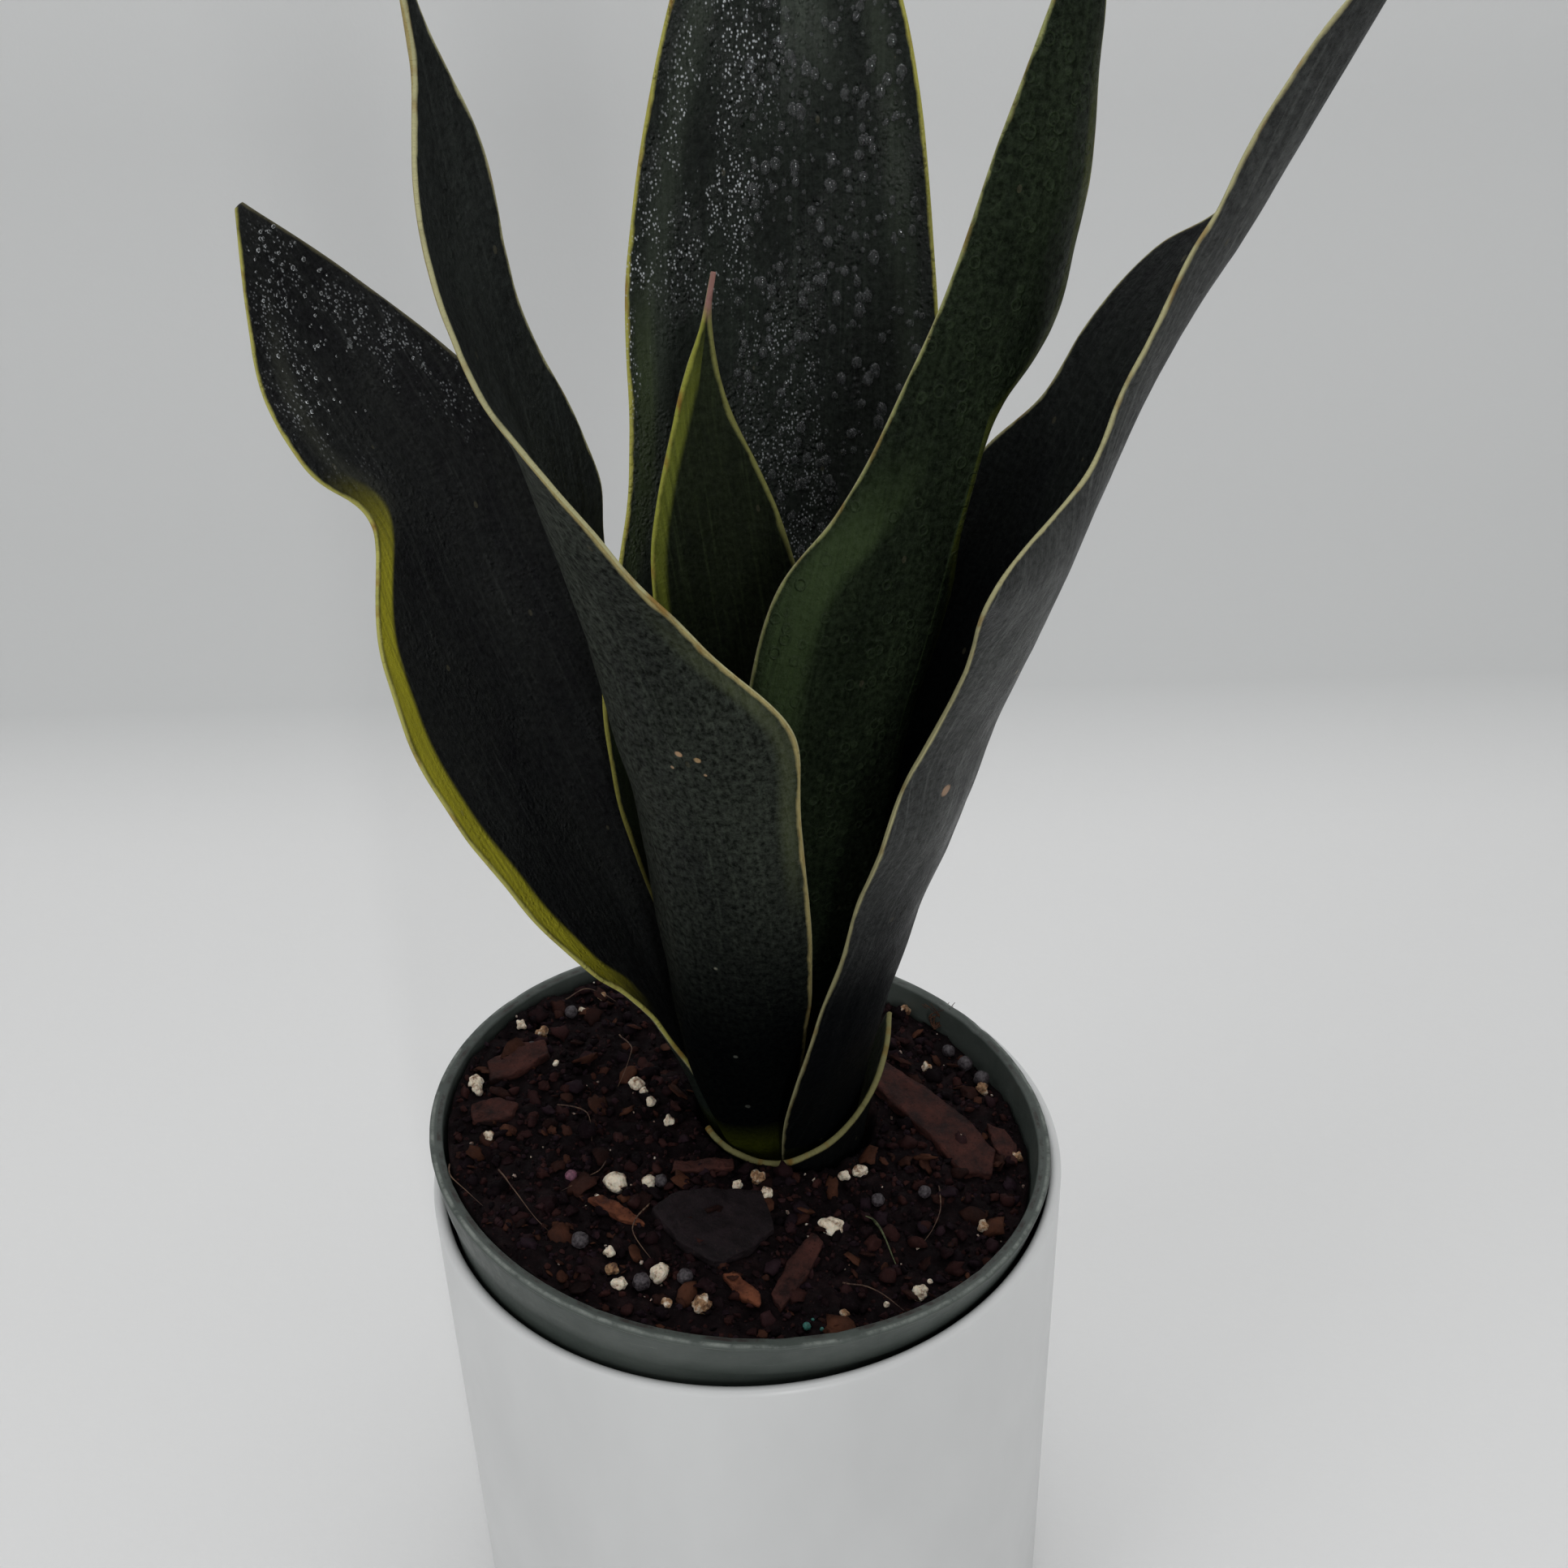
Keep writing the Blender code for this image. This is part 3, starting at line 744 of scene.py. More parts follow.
def outline(bm: Mesh) -> tuple[list[Vector], list[list[int]]]:
    """List a small mesh's points and the points of each face, for stamping it many times; it is freed."""
    bm.verts.index_update()
    found = [v.co.copy() for v in bm.verts], [[v.index for v in f.verts] for f in bm.faces]
    bm.free()
    return found


def stamp(bm: Mesh, points: Iterable[Vector], faces: Iterable[Sequence[int]]) -> list[bmesh.types.BMVert]:
    """Add a copy of an outlined shape to a mesh.

    Args:
        bm: The mesh.
        points: The copy's points.
        faces: The shape's faces.

    Returns:
        The copy's points in the mesh.
    """
    new = [bm.verts.new(point) for point in points]
    for face in faces:
        bm.faces.new([new[i] for i in face])
    return new


def smooth_track(values: Sequence[float], u: float) -> float:
    """Read a smooth curve through evenly spaced values at u, from 0 to 1."""
    last = len(values) - 1
    place = min(max(u, 0.0), 1.0) * last
    i = min(int(place), last - 1)
    t = place - i
    a, b = values[i], values[i + 1]
    slope_a = (b - values[max(i - 1, 0)]) / 2
    slope_b = (values[min(i + 2, last)] - a) / 2
    return (
        (2 * t**3 - 3 * t**2 + 1) * a
        + (t**3 - 2 * t**2 + t) * slope_a
        + (3 * t**2 - 2 * t**3) * b
        + (t**3 - t**2) * slope_b
    )


# -------------------------------------------------------------------- leaves


FOOT = 150.0
RISE = 338.0
TIP_THINNING = 0.6


class Section(NamedTuple):
    """A cross-section of a leaf: midrib, bearing of its inner face, and widths and curls of its halves."""

    x: float
    y: float
    z: float
    facing: float
    left: float
    right: float
    curl_left: float
    curl_right: float


@dataclass
class Station:
    """A leaf's frame at one place along it."""

    middle: Vector
    side: Vector
    face: Vector
    halves: tuple[tuple[float, float], tuple[float, float]]
    along: float = 0.0

    CREASE = 0.2

    def point(self, across: float) -> tuple[Vector, Vector]:
        """Place a point across the leaf.

        Args:
            across: From -1 at the left margin to 1 at the right one.

        Returns:
            The point and the inner face's normal there.
        """
        width, curl = self.halves[across > 0]
        start = math.radians(curl) * self.CREASE
        bend = max(math.radians(curl) - start, 0.001)
        angle = start + bend * abs(across)
        sideways = width * (math.sin(angle) - math.sin(start)) / bend
        inward = width * (math.cos(start) - math.cos(angle)) / bend
        hand = math.copysign(1.0, across)
        normal = self.face * math.cos(angle) - self.side * (hand * math.sin(angle))
        return self.middle + self.side * (hand * sideways) + self.face * inward, normal


@dataclass
class Leaf:
    """One channelled leaf, with wavy margins and a skin for each side; its sections run from the foot up."""

    name: str
    sections: Sequence[tuple[float, ...]]
    inner: LeafFinish
    outer: LeafFinish
    wave: float = 0.55
    dents: float = 0.5
    seed: float = 0.0
    thickness: float = 2.6
    margin_share: float = 0.42
    rows: int = 128
    columns: int = 40

    def stations(self) -> list[Station]:
        """Work out the leaf's frame at every row of its grid."""
        made: list[Station] = []
        step = 0.01
        for row in range(self.rows + 1):
            u = row / self.rows
            read = Section(*(smooth_track([s[i] for s in self.sections], u) for i in range(8)))
            ends = [
                Vector([smooth_track([s[i] for s in self.sections], v) for i in range(3)])
                for v in (max(u - step, 0.0), min(u + step, 1.0))
            ]
            growth = (ends[1] - ends[0]).normalized()
            bearing = math.radians(read.facing)
            face = Vector((math.cos(bearing), math.sin(bearing), 0.0))
            face = (face - growth * face.dot(growth)).normalized()
            halves = ((max(read.left, 0.3), read.curl_left), (max(read.right, 0.3), read.curl_right))
            middle = Vector(read[:3])
            along = made[-1].along + (middle - made[-1].middle).length if made else 0.0
            made.append(Station(middle, growth.cross(face), face, halves, along))
        return made

    def surface(self, station: Station, across: float) -> tuple[Vector, Vector]:
        """Place a point on the leaf's waved and dented middle surface.

        Args:
            station: The leaf's frame there.
            across: From -1 to 1.

        Returns:
            The point and the inner face's normal.
        """
        point, normal = station.point(across)
        beat = Vector((station.along / 17.0, self.seed + math.copysign(3.0, across), 0.0))
        ripple = self.wave * abs(across) ** 3 * noise.noise(beat) * 2.0
        dent = self.dents * noise.noise(point / 19.0 + Vector((self.seed, 0.0, 0.0)))
        fine = 0.12 * noise.noise(point / 4.0 + Vector((0.0, self.seed, 0.0)))
        fade = min(1.0, station.along / 40.0)
        return point + normal * ((ripple + dent + fine) * fade), normal

    def thinned(self, full: float, across: float, rise: float) -> float:
        """Give what is left of a full thickness towards a margin and up the leaf."""
        thin = full * (1.0 - (1.0 - self.margin_share) * abs(across) ** 3)
        return thin * (1.0 - TIP_THINNING * rise**4)

    def build(self) -> None:
        """Model and dress the leaf, which stands for its solid."""
        stations = self.stations()
        bm = bmesh.new()
        bmesh.ops.create_grid(bm, x_segments=self.columns, y_segments=self.rows, size=1.0)
        layers = [bm.verts.layers.float.new(n) for n in ("across", "along", "margin")]
        weights: list[float] = []
        for vert in bm.verts:
            across = vert.co.x
            row = round((vert.co.y + 1.0) / 2 * self.rows)
            station = stations[row]
            width = station.halves[across > 0][0]
            vert.co = self.surface(station, across)[0] * MM
            for layer, value in zip(layers, (width * across, station.along, width * (1.0 - abs(across)))):
                vert[layer] = value
            weights.append(self.thinned(1.0, across, row / self.rows))
        leaf = add_piece(self.name + "_blade", bm, self.inner.make(), self.outer.make())
        thick = leaf.vertex_groups.new(name="thickness")
        for index, weight in enumerate(weights):
            thick.add([index], weight, "REPLACE")
        thicken(leaf, self.thickness, thick.name)
        settle(leaf, "leaf", self.name)


@dataclass
class Drops:
    """Flattened beads of water on part of a leaf's inner face."""

    leaf: Leaf
    count: int
    heights: tuple[float, float]
    reach: tuple[float, float]
    sizes: tuple[float, float]
    seed: int
    flatness: float = 0.42

    def build(self, water: Finish) -> None:
        """Scatter the beads, all as one piece.

        Args:
            water: The drops' material.
        """
        rng = random.Random(self.seed)
        stations = [s for s in self.leaf.stations() if self.heights[0] < s.middle.z < self.heights[1]]
        bead = bmesh.new()
        bmesh.ops.create_uvsphere(bead, u_segments=8, v_segments=5, radius=1.0)
        points, faces = outline(bead)
        bm = bmesh.new()
        for _ in range(self.count):
            station = rng.choice(stations)
            across = rng.uniform(*self.reach)
            point, normal = self.leaf.surface(station, across)
            point += normal.cross(station.side) * rng.uniform(-1.6, 1.6)
            small, big = self.sizes
            radius = small + (big - small) * rng.random() ** 3
            lift = self.leaf.thinned(self.leaf.thickness / 2, across, (station.middle.z - FOOT) / RISE)
            aim = normal.to_track_quat("Z", "Y").to_matrix().to_4x4()
            spot = Matrix.Translation((point + normal * lift) * MM) @ aim
            long = radius * rng.uniform(0.9, 1.5)
            shape = Matrix.Diagonal((radius * MM, long * MM, radius * self.flatness * MM, 1.0))
            stamp(bm, [spot @ shape @ p for p in points], faces)
        settle(add_piece(self.leaf.name + "_drops", bm, water), "leaf")


@dataclass
class Sheath:
    """The short sheath leaf round the rosette's foot, with its curled right tip."""

    crown: Vector
    track: Sequence[tuple[float, float, float, float]]
    inner: LeafFinish
    outer: LeafFinish
    thickness: float = 1.7
    girth: float = 75.0
    depth: float = 40.0
    columns: int = 110
    rows: int = 26

    def place(self, u: float, v: float) -> Vector:
        """Place a point: u along the margin, v from the foot to the margin."""
        bearing, foot, margin, height = (smooth_track([s[i] for s in self.track], u) for i in range(4))
        lip = 0.7 * noise.noise(Vector((u * 9.0, 5.0, 0.0)))
        roll = 1.1 * max(0.0, (u - 0.82) / 0.18) ** 2 * v**4
        radius = foot + (margin - foot) * v**1.6 + (0.8 * v**8 + roll) + 0.5 * lip * v**3
        angle = math.radians(bearing)
        flat = Vector((math.cos(angle), math.sin(angle), 0.0)) * radius
        return self.crown + flat + Vector((0.0, 0.0, (height + lip * v - self.crown.z) * v))

    def build(self) -> None:
        """Model and dress the sheath, which stands for its solid."""
        bm = bmesh.new()
        bmesh.ops.create_grid(bm, x_segments=self.columns, y_segments=self.rows, size=1.0)
        layers = [bm.verts.layers.float.new(n) for n in ("across", "along", "margin")]
        for vert in bm.verts:
            u, v = (vert.co.x + 1.0) / 2, (vert.co.y + 1.0) / 2
            point, rim = self.place(u, v), self.place(u, 1.0)
            vert.co = point * MM
            for layer, value in zip(layers, (self.girth * (u - 0.5), self.depth * v, (rim - point).length)):
                vert[layer] = value
        piece = add_piece("basal_sheath_leaf", bm, self.outer.make(), self.inner.make())
        thicken(piece, self.thickness)
        settle(piece, "sheath", "basal_sheath")


# ---------------------------------------------------------------------- pots


NOT_LIP = -9.0


@dataclass
class Cachepot:
    """The plain white cylinder."""

    radius: float = 81.0
    height: float = 160.0
    wall: float = 3.0
    floor: float = 7.0
    foot: float = 5.0
    steps: int = 192

    def build(self) -> None:
        """Model and glaze the cachepot."""
        lip, inner = self.wall / 2, self.radius - self.wall
        profile = [(0.0, self.floor), (40.0, self.floor), (inner - self.foot, self.floor)]
        profile += arc((inner - self.foot, self.floor + self.foot), self.foot, -80, 0, 6)
        profile += [(inner, z) for z in (50.0, 100.0, 150.0)]
        profile += arc((self.radius - lip, self.height - lip), lip, 180, 0, 12)
        profile += [(self.radius, z) for z in (150.0, 100.0, 50.0)]
        profile += arc((self.radius - self.foot, self.foot), self.foot, 0, -90, 8)
        profile += [(40.0, 0.0), (0.0, 0.0)]
        pot = add_piece("glazed_cachepot", turn(profile, self.steps), GlazeFinish().make())
        settle(pot, "white_glaze", "cachepot")


@dataclass
class NurseryPot:
    """The tapered green pot, tilted in the cachepot's mouth, with a thick scuffed rim."""

    rim_radius: float = 79.5
    taper: float = 0.22
    height: float = 116.0
    lip: float = 3.4
    wall: float = 1.6
    floor: float = 2.0
    rim_centre: tuple[float, float, float] = (-0.8, 0.0, 170.2)
    tilt: tuple[float, float] = (-1.8, 5.3)
    round_off: float = 0.7
    drains: int = 6
    drain_radius: float = 6.0
    drain_ring: float = 0.7
    wear: float = 0.0012
    ripple: float = 0.0008
    steps: int = 200

    def frame(self) -> Matrix:
        """Give the matrix that tilts the pot and its filling, in metres."""
        turned = Euler((math.radians(self.tilt[0]), math.radians(self.tilt[1]), 0.0)).to_matrix().to_4x4()
        return Matrix.Translation(Vector(self.rim_centre) * MM) @ turned

    def outside(self, depth: float) -> float:
        """Outer radius at a depth under the rim."""
        return self.rim_radius - self.taper * depth

    def inside(self, depth: float) -> float:
        """Inner radius at a depth, where the lip thins into the wall."""
        return self.outside(depth) - self.wall - (self.lip - self.wall) * max(1.0 - depth / 12.0, 0.0)

    def profile(self) -> list[Point]:
        """Outline of the pot's wall, from the middle of its floor, up, over the rim and down."""
        floor, curve = self.height - self.floor, self.round_off
        made = [(0.0, -floor), (30.0, -floor), (self.inside(floor), -floor)]
        made += [(self.inside(d), -d) for d in (90.0, 60.0, 30.0, 12.0, 6.0, 2.0)]
        made += arc((self.inside(curve) + curve, -curve), curve, 180, 90, 4)
        made += arc((self.outside(curve) - curve, -curve), curve, 90, 0, 4)
        made += [(self.outside(d), -d) for d in (2.0, 6.0, 10.0)]
        made += [(self.outside(10.6) - 0.5, -10.6)]
        made += [(self.outside(d) - 0.5, -d) for d in (16.0, 30.0, 60.0, 90.0, self.height - 3.0)]
        foot = self.outside(self.height) - 2.5
        return made + [(r, -self.height) for r in (foot, 30.0, 0.0)]

    def build(self) -> None:
        """Model the pot, wear its rim, drill it and tilt it."""
        bm = turn(self.profile(), self.steps)
        for vert in bm.verts:
            x, y, z = vert.co
            if z > -0.004:
                angle = math.atan2(y, x)
                chip = noise.noise(Vector((math.cos(angle) * 14, math.sin(angle) * 14, 0.0)))
                vert.co.z -= max(0.0, chip - 0.28) * self.wear
                vert.co.x += x * self.ripple * noise.noise(Vector((x, y, 0.0)) * 260)
                vert.co.y += y * self.ripple * noise.noise(Vector((x, y, 5.0)) * 260)
        middle = (self.inside(self.round_off) + self.outside(self.round_off)) / 2
        depth, lip = (bm.verts.layers.float.new(name) for name in ("depth", "lip"))
        for vert in bm.verts:
            x, y, z = vert.co
            vert[depth] = -z / MM
            vert[lip] = math.hypot(x, y) / MM - middle if z > -0.002 else NOT_LIP
        pot = add_piece("green_nursery_pot", bm, GrowerFinish().make())
        holes = bmesh.new()
        for i in range(self.drains):
            angle = math.tau * i / self.drains
            out = Vector((math.cos(angle), math.sin(angle), 0.0))
            spot = out * self.outside(self.height) * self.drain_ring - Vector((0.0, 0.0, self.height))
            size = self.drain_radius * MM
            bore = {"cap_ends": True, "segments": 24, "radius1": size, "radius2": size, "depth": 0.01}
            bmesh.ops.create_cone(holes, matrix=Matrix.Translation(spot * MM), **bore)
        drill = add_piece("drain_drill", holes)
        cut = pot.modifiers.new("drains", "BOOLEAN")
        cut.operation, cut.object = "DIFFERENCE", drill
        drilled = bpy.data.meshes.new_from_object(pot.evaluated_get(bpy.context.evaluated_depsgraph_get()))
        pot.modifiers.clear()
        pot.data = drilled
        bpy.data.objects.remove(drill, do_unlink=True)
        pot.data.transform(self.frame())
        settle(pot, "grower_green", "nursery_pot")


# --------------------------------------------------------------- potting mix


@dataclass
class Bed:
    """The mix's surface in the tilted pot, and how loose things lie on it."""

    pot: NurseryPot
    crown: Vector
    pocket: float = 23.2
    sink: float = 12.0
    below_rim: float = 5.5
    fall: float = 0.045
    lumpiness: float = 1.4
    bottom: float = 103.5
    rings: int = 74
    steps: int = 260

    def height(self, x: float, y: float) -> float:
        """Give the height of the broad lumps of the surface, in the pot's frame."""
        lumps = noise.noise(Vector((x / 14, y / 14, 3.0))) + 0.5 * noise.noise(Vector((x / 6, y / 6, 9.0)))
        return -self.below_rim - self.fall * x + self.lumpiness * lumps

    def rough_height(self, x: float, y: float) -> float:
        """Give the height with crumbs and gaps."""
        crumb = noise.fractal(Vector((x / 3.2, y / 3.2, 1.0)), 0.6, 2.2, 3)
        pit = noise.noise(Vector((x / 5.0, y / 5.0, 20.0)))
        return self.height(x, y) + 1.2 * crumb - 2.4 * max(0.0, pit - 0.1)

    def from_crown(self, x: float, y: float) -> float:
        """Give a place's distance from the middle of the rosette."""
        centre = self.pot.frame().inverted() @ (self.crown * MM) / MM
        return math.hypot(x - centre.x, y - centre.y)

    def reach(self) -> float:
        """Radius of the surface."""
        return self.pot.inside(self.below_rim) - 0.9

    def build(self) -> None:
        """Model the mass of mix with its crumbly top and the pocket round the crown."""
        reach = self.reach()
        profile = [(reach * i / self.rings, 0.0) for i in range(self.rings + 1)]
        profile += [(self.pot.inside(d) - 0.6, -d) for d in (self.below_rim + 8.0, 60.0, self.bottom)]
        bm = turn([*profile, (0.0, -self.bottom)], self.steps)
        for vert in bm.verts:
            x, y, z = vert.co / MM
            if z > -1.0:
                into = (self.pocket + 0.8 - self.from_crown(x, y)) / 2.5
                sunk = self.sink * max(0.0, min(1.0, into))
                vert.co.z = (self.rough_height(x, y) - sunk) * MM
        bmesh.ops.transform(bm, matrix=self.pot.frame(), verts=bm.verts[:])
        soil = CrumbFinish("mix_soil", (tone(9, 5, 7), tone(19, 12, 14), tone(34, 22, 23)), per_crumb=False)
        settle(add_piece("crumbly_mix", bm, soil.make()), "potting_mix", "potting_mix")


TIP = 0.7
KNOBBLE = 0.75


@dataclass
class Crumbs:
    """Loose crumbs, bark bits or perlite strewn over the mix."""

    bed: Bed
    name: str
    slot: str
    count: int
    sizes: tuple[float, float]
    squash: tuple[float, float]
    lift: float
    seed: int
    subdivisions: int = 1
    power: float = 2.0

    def build(self, finish: Finish) -> None:
        """Strew the crumbs, all as one piece.

        Args:
            finish: Their material, which may read each crumb's tint.
        """
        rng = random.Random(self.seed)
        ball = bmesh.new()
        bmesh.ops.create_icosphere(ball, subdivisions=self.subdivisions, radius=1.0)
        points, faces = outline(ball)
        bm = bmesh.new()
        tint = bm.verts.layers.float.new("tint")
        room, made = self.bed.pot.frame(), 0
        while made < self.count:
            angle, radius = rng.uniform(0, math.tau), self.bed.reach() * math.sqrt(rng.random())
            x, y = radius * math.cos(angle), radius * math.sin(angle)
            size = self.sizes[0] + (self.sizes[1] - self.sizes[0]) * rng.random() ** self.power
            crowded = self.bed.from_crown(x, y) < self.bed.pocket + (1.0 + size / 2)
            if crowded or radius + size / 2 > self.bed.reach():
                continue
            z = self.bed.rough_height(x, y) + size * self.lift
            turned = Euler([rng.uniform(-TIP, TIP), rng.uniform(-TIP, TIP), rng.uniform(0, math.tau)])
            flat = rng.uniform(*self.squash)
            sides = (size / 2, size / 2 * rng.uniform(0.5, 1.0), size / 2 * flat)
            shape = Matrix.Diagonal((*(side * MM for side in sides), 1.0))
            spot = room @ Matrix.Translation(Vector((x, y, z)) * MM) @ turned.to_matrix().to_4x4() @ shape
            beat = Vector((made * 1.7, 0.0, 0.0))
            number = rng.random()
            lumpy = [spot @ (p * (1.0 + KNOBBLE * noise.noise(p * 1.5 + beat))) for p in points]
            for vert in stamp(bm, lumpy, faces):
                vert[tint] = number
            made += 1
        settle(add_piece(self.name, bm, finish, smooth=self.subdivisions > 1), self.slot)


class BarkTone(Enum):
    """The three looks of bark, each a dark and a light colour."""

    DARK = (tone(20, 15, 17), tone(36, 28, 31))
    RED = (tone(32, 18, 17), tone(72, 42, 37))
    ORANGE = (tone(60, 31, 23), tone(112, 66, 46))


class Chip(NamedTuple):
    """A bark chip: its place, lift, turn, thickness, tone and outline in the pot's frame."""

    name: str
    x: float
    y: float
    lift: float
    turn: tuple[float, float, float]
    thickness: float
    tone: BarkTone
    outline: tuple[tuple[float, float], ...]


CHIPS = (
    Chip("bark_chip_flat", -7, -37, 0.9, (2, 3, 0), 2.6, BarkTone.DARK,
         ((-15, 3), (-10, 9), (0, 12), (12, 12), (15, 0), (9, -8), (1, -13), (-7, -8))),
    Chip("bark_chip_long", 51, 8, 1.0, (0, 4, -52), 3.0, BarkTone.RED,
         ((-28, -4), (-26, 4), (-12, 7), (4, 8), (17, 6), (23, -1), (18, -7), (4, -5), (-12, -5))),
    Chip("bark_chip_rim", 69, 1, 1.0, (3, 5, -75), 2.2, BarkTone.RED,
         ((-8, -2), (-5, 2), (1, 3), (7, 1), (6, -2), (0, -3))),
    Chip("bark_chip_thin", -10, -16, 0.9, (4, 0, 4), 1.8, BarkTone.RED,
         ((-8, -2), (-7, 1), (0, 2), (8, 2), (8, -1), (0, -2))),
    Chip("bark_chip_left", -60, 20, 0.8, (0, -5, 35), 2.4, BarkTone.RED,
         ((-10, -3), (-7, 4), (3, 6), (10, 3), (8, -3), (-2, -5))),
    Chip("bark_chip_small", -64, -1, 0.8, (4, 2, 20), 2.2, BarkTone.RED,
         ((-6, -3), (-5, 3), (2, 4), (7, 1), (4, -4))),
    Chip("bark_sliver_orange", -30, -35, 0.9, (0, 6, -28), 1.8, BarkTone.ORANGE,
         ((-8, -1), (-6, 2), (2, 2), (8, 0), (2, -2))),
    Chip("bark_sliver_red", 13, -50, 1.0, (3, 0, 65), 2.0, BarkTone.RED,
         ((-13, -2), (-10, 2), (2, 3), (13, 2), (12, -2), (0, -3))),
    Chip("bark_sliver_front", 0, -57, 0.9, (0, 0, -50), 1.8, BarkTone.ORANGE,
         ((-6, -1), (-4, 2), (5, 2), (7, 0), (3, -2))),
)

GRAINS = (
    (-31, -24, (6.0, 5.0, 5.0)),
    (-23, -23, (3.6, 3.4, 3.2)),
    (22, -34, (4.6, 6.4, 4.4)),
    (30, -13, (3.4, 4.2, 3.2)),
    (-28, 15, (4.2, 3.6, 3.4)),
    (-70, 11, (4.0, 4.0, 3.6)),
    (-19, -53, (5.0, 4.0, 4.0)),
    (42, -54, (4.0, 3.6, 3.4)),
)


FIBRE_STEPS = 14
FIBRE_TAPER = 0.75
FIBRE_LAP = 1.06


@dataclass
class TopDressing:
    """The bark chips, perlite grains, fertiliser prills, roots and sprigs that lie on the mix."""

    bed: Bed

    def spot(self, x: float, y: float, lift: float, turned: Iterable[float]) -> Matrix:
        """Give the matrix that lays a thing on the mix.

        Args:
            x: Place across, in the pot's frame.
            y: Place along.
            lift: Height over the mix's broad surface.
            turned: Turns about its three axes in degrees.

        Returns:
            The matrix into the room.
        """
        here = Matrix.Translation(Vector((x, y, self.bed.height(x, y) + lift)) * MM)
        return self.bed.pot.frame() @ here @ Euler([math.radians(a) for a in turned]).to_matrix().to_4x4()

    def build_chip(self, chip: Chip, finish: Finish) -> None:
        """Model one chip: its outline extruded, cut finer, and broken along its layers.

        Args:
            chip: The chip.
            finish: Its bark.
        """
        bm = bmesh.new()
        under = -chip.thickness / 2 * MM
        face = bm.faces.new([bm.verts.new((x * MM, y * MM, under)) for x, y in chip.outline])
        raised = bmesh.ops.extrude_face_region(bm, geom=[face])["geom"]
        top = [g for g in raised if isinstance(g, bmesh.types.BMVert)]
        bmesh.ops.translate(bm, verts=top, vec=(0.0, 0.0, chip.thickness * MM))
        bmesh.ops.recalc_face_normals(bm, faces=bm.faces[:])
        soft = {"offset": 0.0005, "segments": 2, "profile": 0.5, "affect": "EDGES", "material": -1}
        bmesh.ops.bevel(bm, geom=bm.edges[:], **soft)
        bmesh.ops.triangulate(bm, faces=bm.faces[:])
        for _ in range(3):
            long = [e for e in bm.edges if e.calc_length() > 0.0011]
            bmesh.ops.subdivide_edges(bm, edges=long, cuts=1, use_grid_fill=True)
            bmesh.ops.triangulate(bm, faces=[f for f in bm.faces if len(f.verts) > 3])
        for vert in bm.verts:
            x, y, z = vert.co / MM
            layer = 0.35 * round(2.2 * noise.noise(Vector((x / 5, y / 2.4, chip.x)))) if z > 0 else 0.0
            ragged = noise.noise_vector(Vector((x / 1.8, y / 1.8, z + chip.y)))
            vert.co += Vector((0.35 * ragged.x, 0.35 * ragged.y, 0.22 * ragged.z + layer)) * MM
        bmesh.ops.transform(bm, matrix=self.spot(chip.x, chip.y, chip.lift, chip.turn), verts=bm.verts[:])
        settle(add_piece(chip.name + "_flake", bm, finish), "bark", chip.name)

    def build_grain(self, number: int, finish: Finish) -> None:
        """Model one perlite grain, knobbly and pitted.

        Args:
            number: Its number, from 1.
            finish: The perlite.
        """
        x, y, size = GRAINS[number - 1]
        bm = bmesh.new()
        bmesh.ops.create_icosphere(bm, subdivisions=4, radius=1.0)
        for vert in bm.verts:
            way = vert.co.copy()
            lump = 1.0 + 0.25 * noise.noise(way * 1.3 + Vector((number - 1, 0.0, 0.0)))
            lump += 0.10 * noise.noise(way * 3.1 + Vector((0.0, number, 0.0)))
            vert.co = Vector([c * lump * s / 2 * MM for c, s in zip(way, size)])
        where = self.spot(x, y, size[2] * 0.2, (0.0, 0.0, 40.0 * (number - 1)))
        bmesh.ops.transform(bm, matrix=where, verts=bm.verts[:])
        settle(add_piece(f"perlite_lump_{number}", bm, finish), "perlite", f"perlite_grain_{number}")

    def build_balls(self, name: str, spots: Sequence[Spot], finish: Finish, rough: float = 0.15) -> None:
        """Model small round things, such as prills, as one piece.

        Args:
            name: The piece's name.
            spots: Place and diameter of each.
            finish: Their material.
            rough: How knobbly they are, as a share of their radius.
        """
        bm = bmesh.new()
        for i, (x, y, size) in enumerate(spots):
            new = bmesh.ops.create_icosphere(bm, subdivisions=3, radius=size / 2 * MM)["verts"]
            for vert in new:
                vert.co *= 1.0 + rough * noise.noise(vert.co * 900 + Vector((i * 3.0, 0.0, 0.0)))
            bmesh.ops.transform(bm, matrix=self.spot(x, y, size * 0.42, (0, 0, 0)), verts=new)
        settle(add_piece(name, bm, finish), "perlite")

    def build_fibres(self, name: str, runs: Sequence[Sequence[Spot]], radius: float, finish: Finish) -> None:
        """Model fine roots or sprigs as tapering tubes, all as one piece.

        Args:
            name: The piece's name.
            runs: Each fibre's points: place, and height over the mix.
            radius: Radius at its thick end.
            finish: Their material.
        """
        bm = bmesh.new()
        for run in runs:
            dots = []
            for i in range(FIBRE_STEPS + 1):
                x, y, up = (smooth_track([p[k] for p in run], i / FIBRE_STEPS) for k in range(3))
                dots.append(self.spot(x, y, up, (0, 0, 0)).translation)
            for i, (a, b) in enumerate(zip(dots, dots[1:])):
                aim = (b - a).to_track_quat("Z", "Y").to_matrix().to_4x4()
                wide, thin = (radius * MM * (1.0 - FIBRE_TAPER * j / FIBRE_STEPS) for j in (i, i + 1))
                tube = {"radius1": wide, "radius2": thin, "depth": (b - a).length * FIBRE_LAP}
                where = Matrix.Translation((a + b) / 2) @ aim
                bmesh.ops.create_cone(bm, cap_ends=True, segments=6, matrix=where, **tube)
        settle(add_piece(name, bm, finish), "potting_mix")

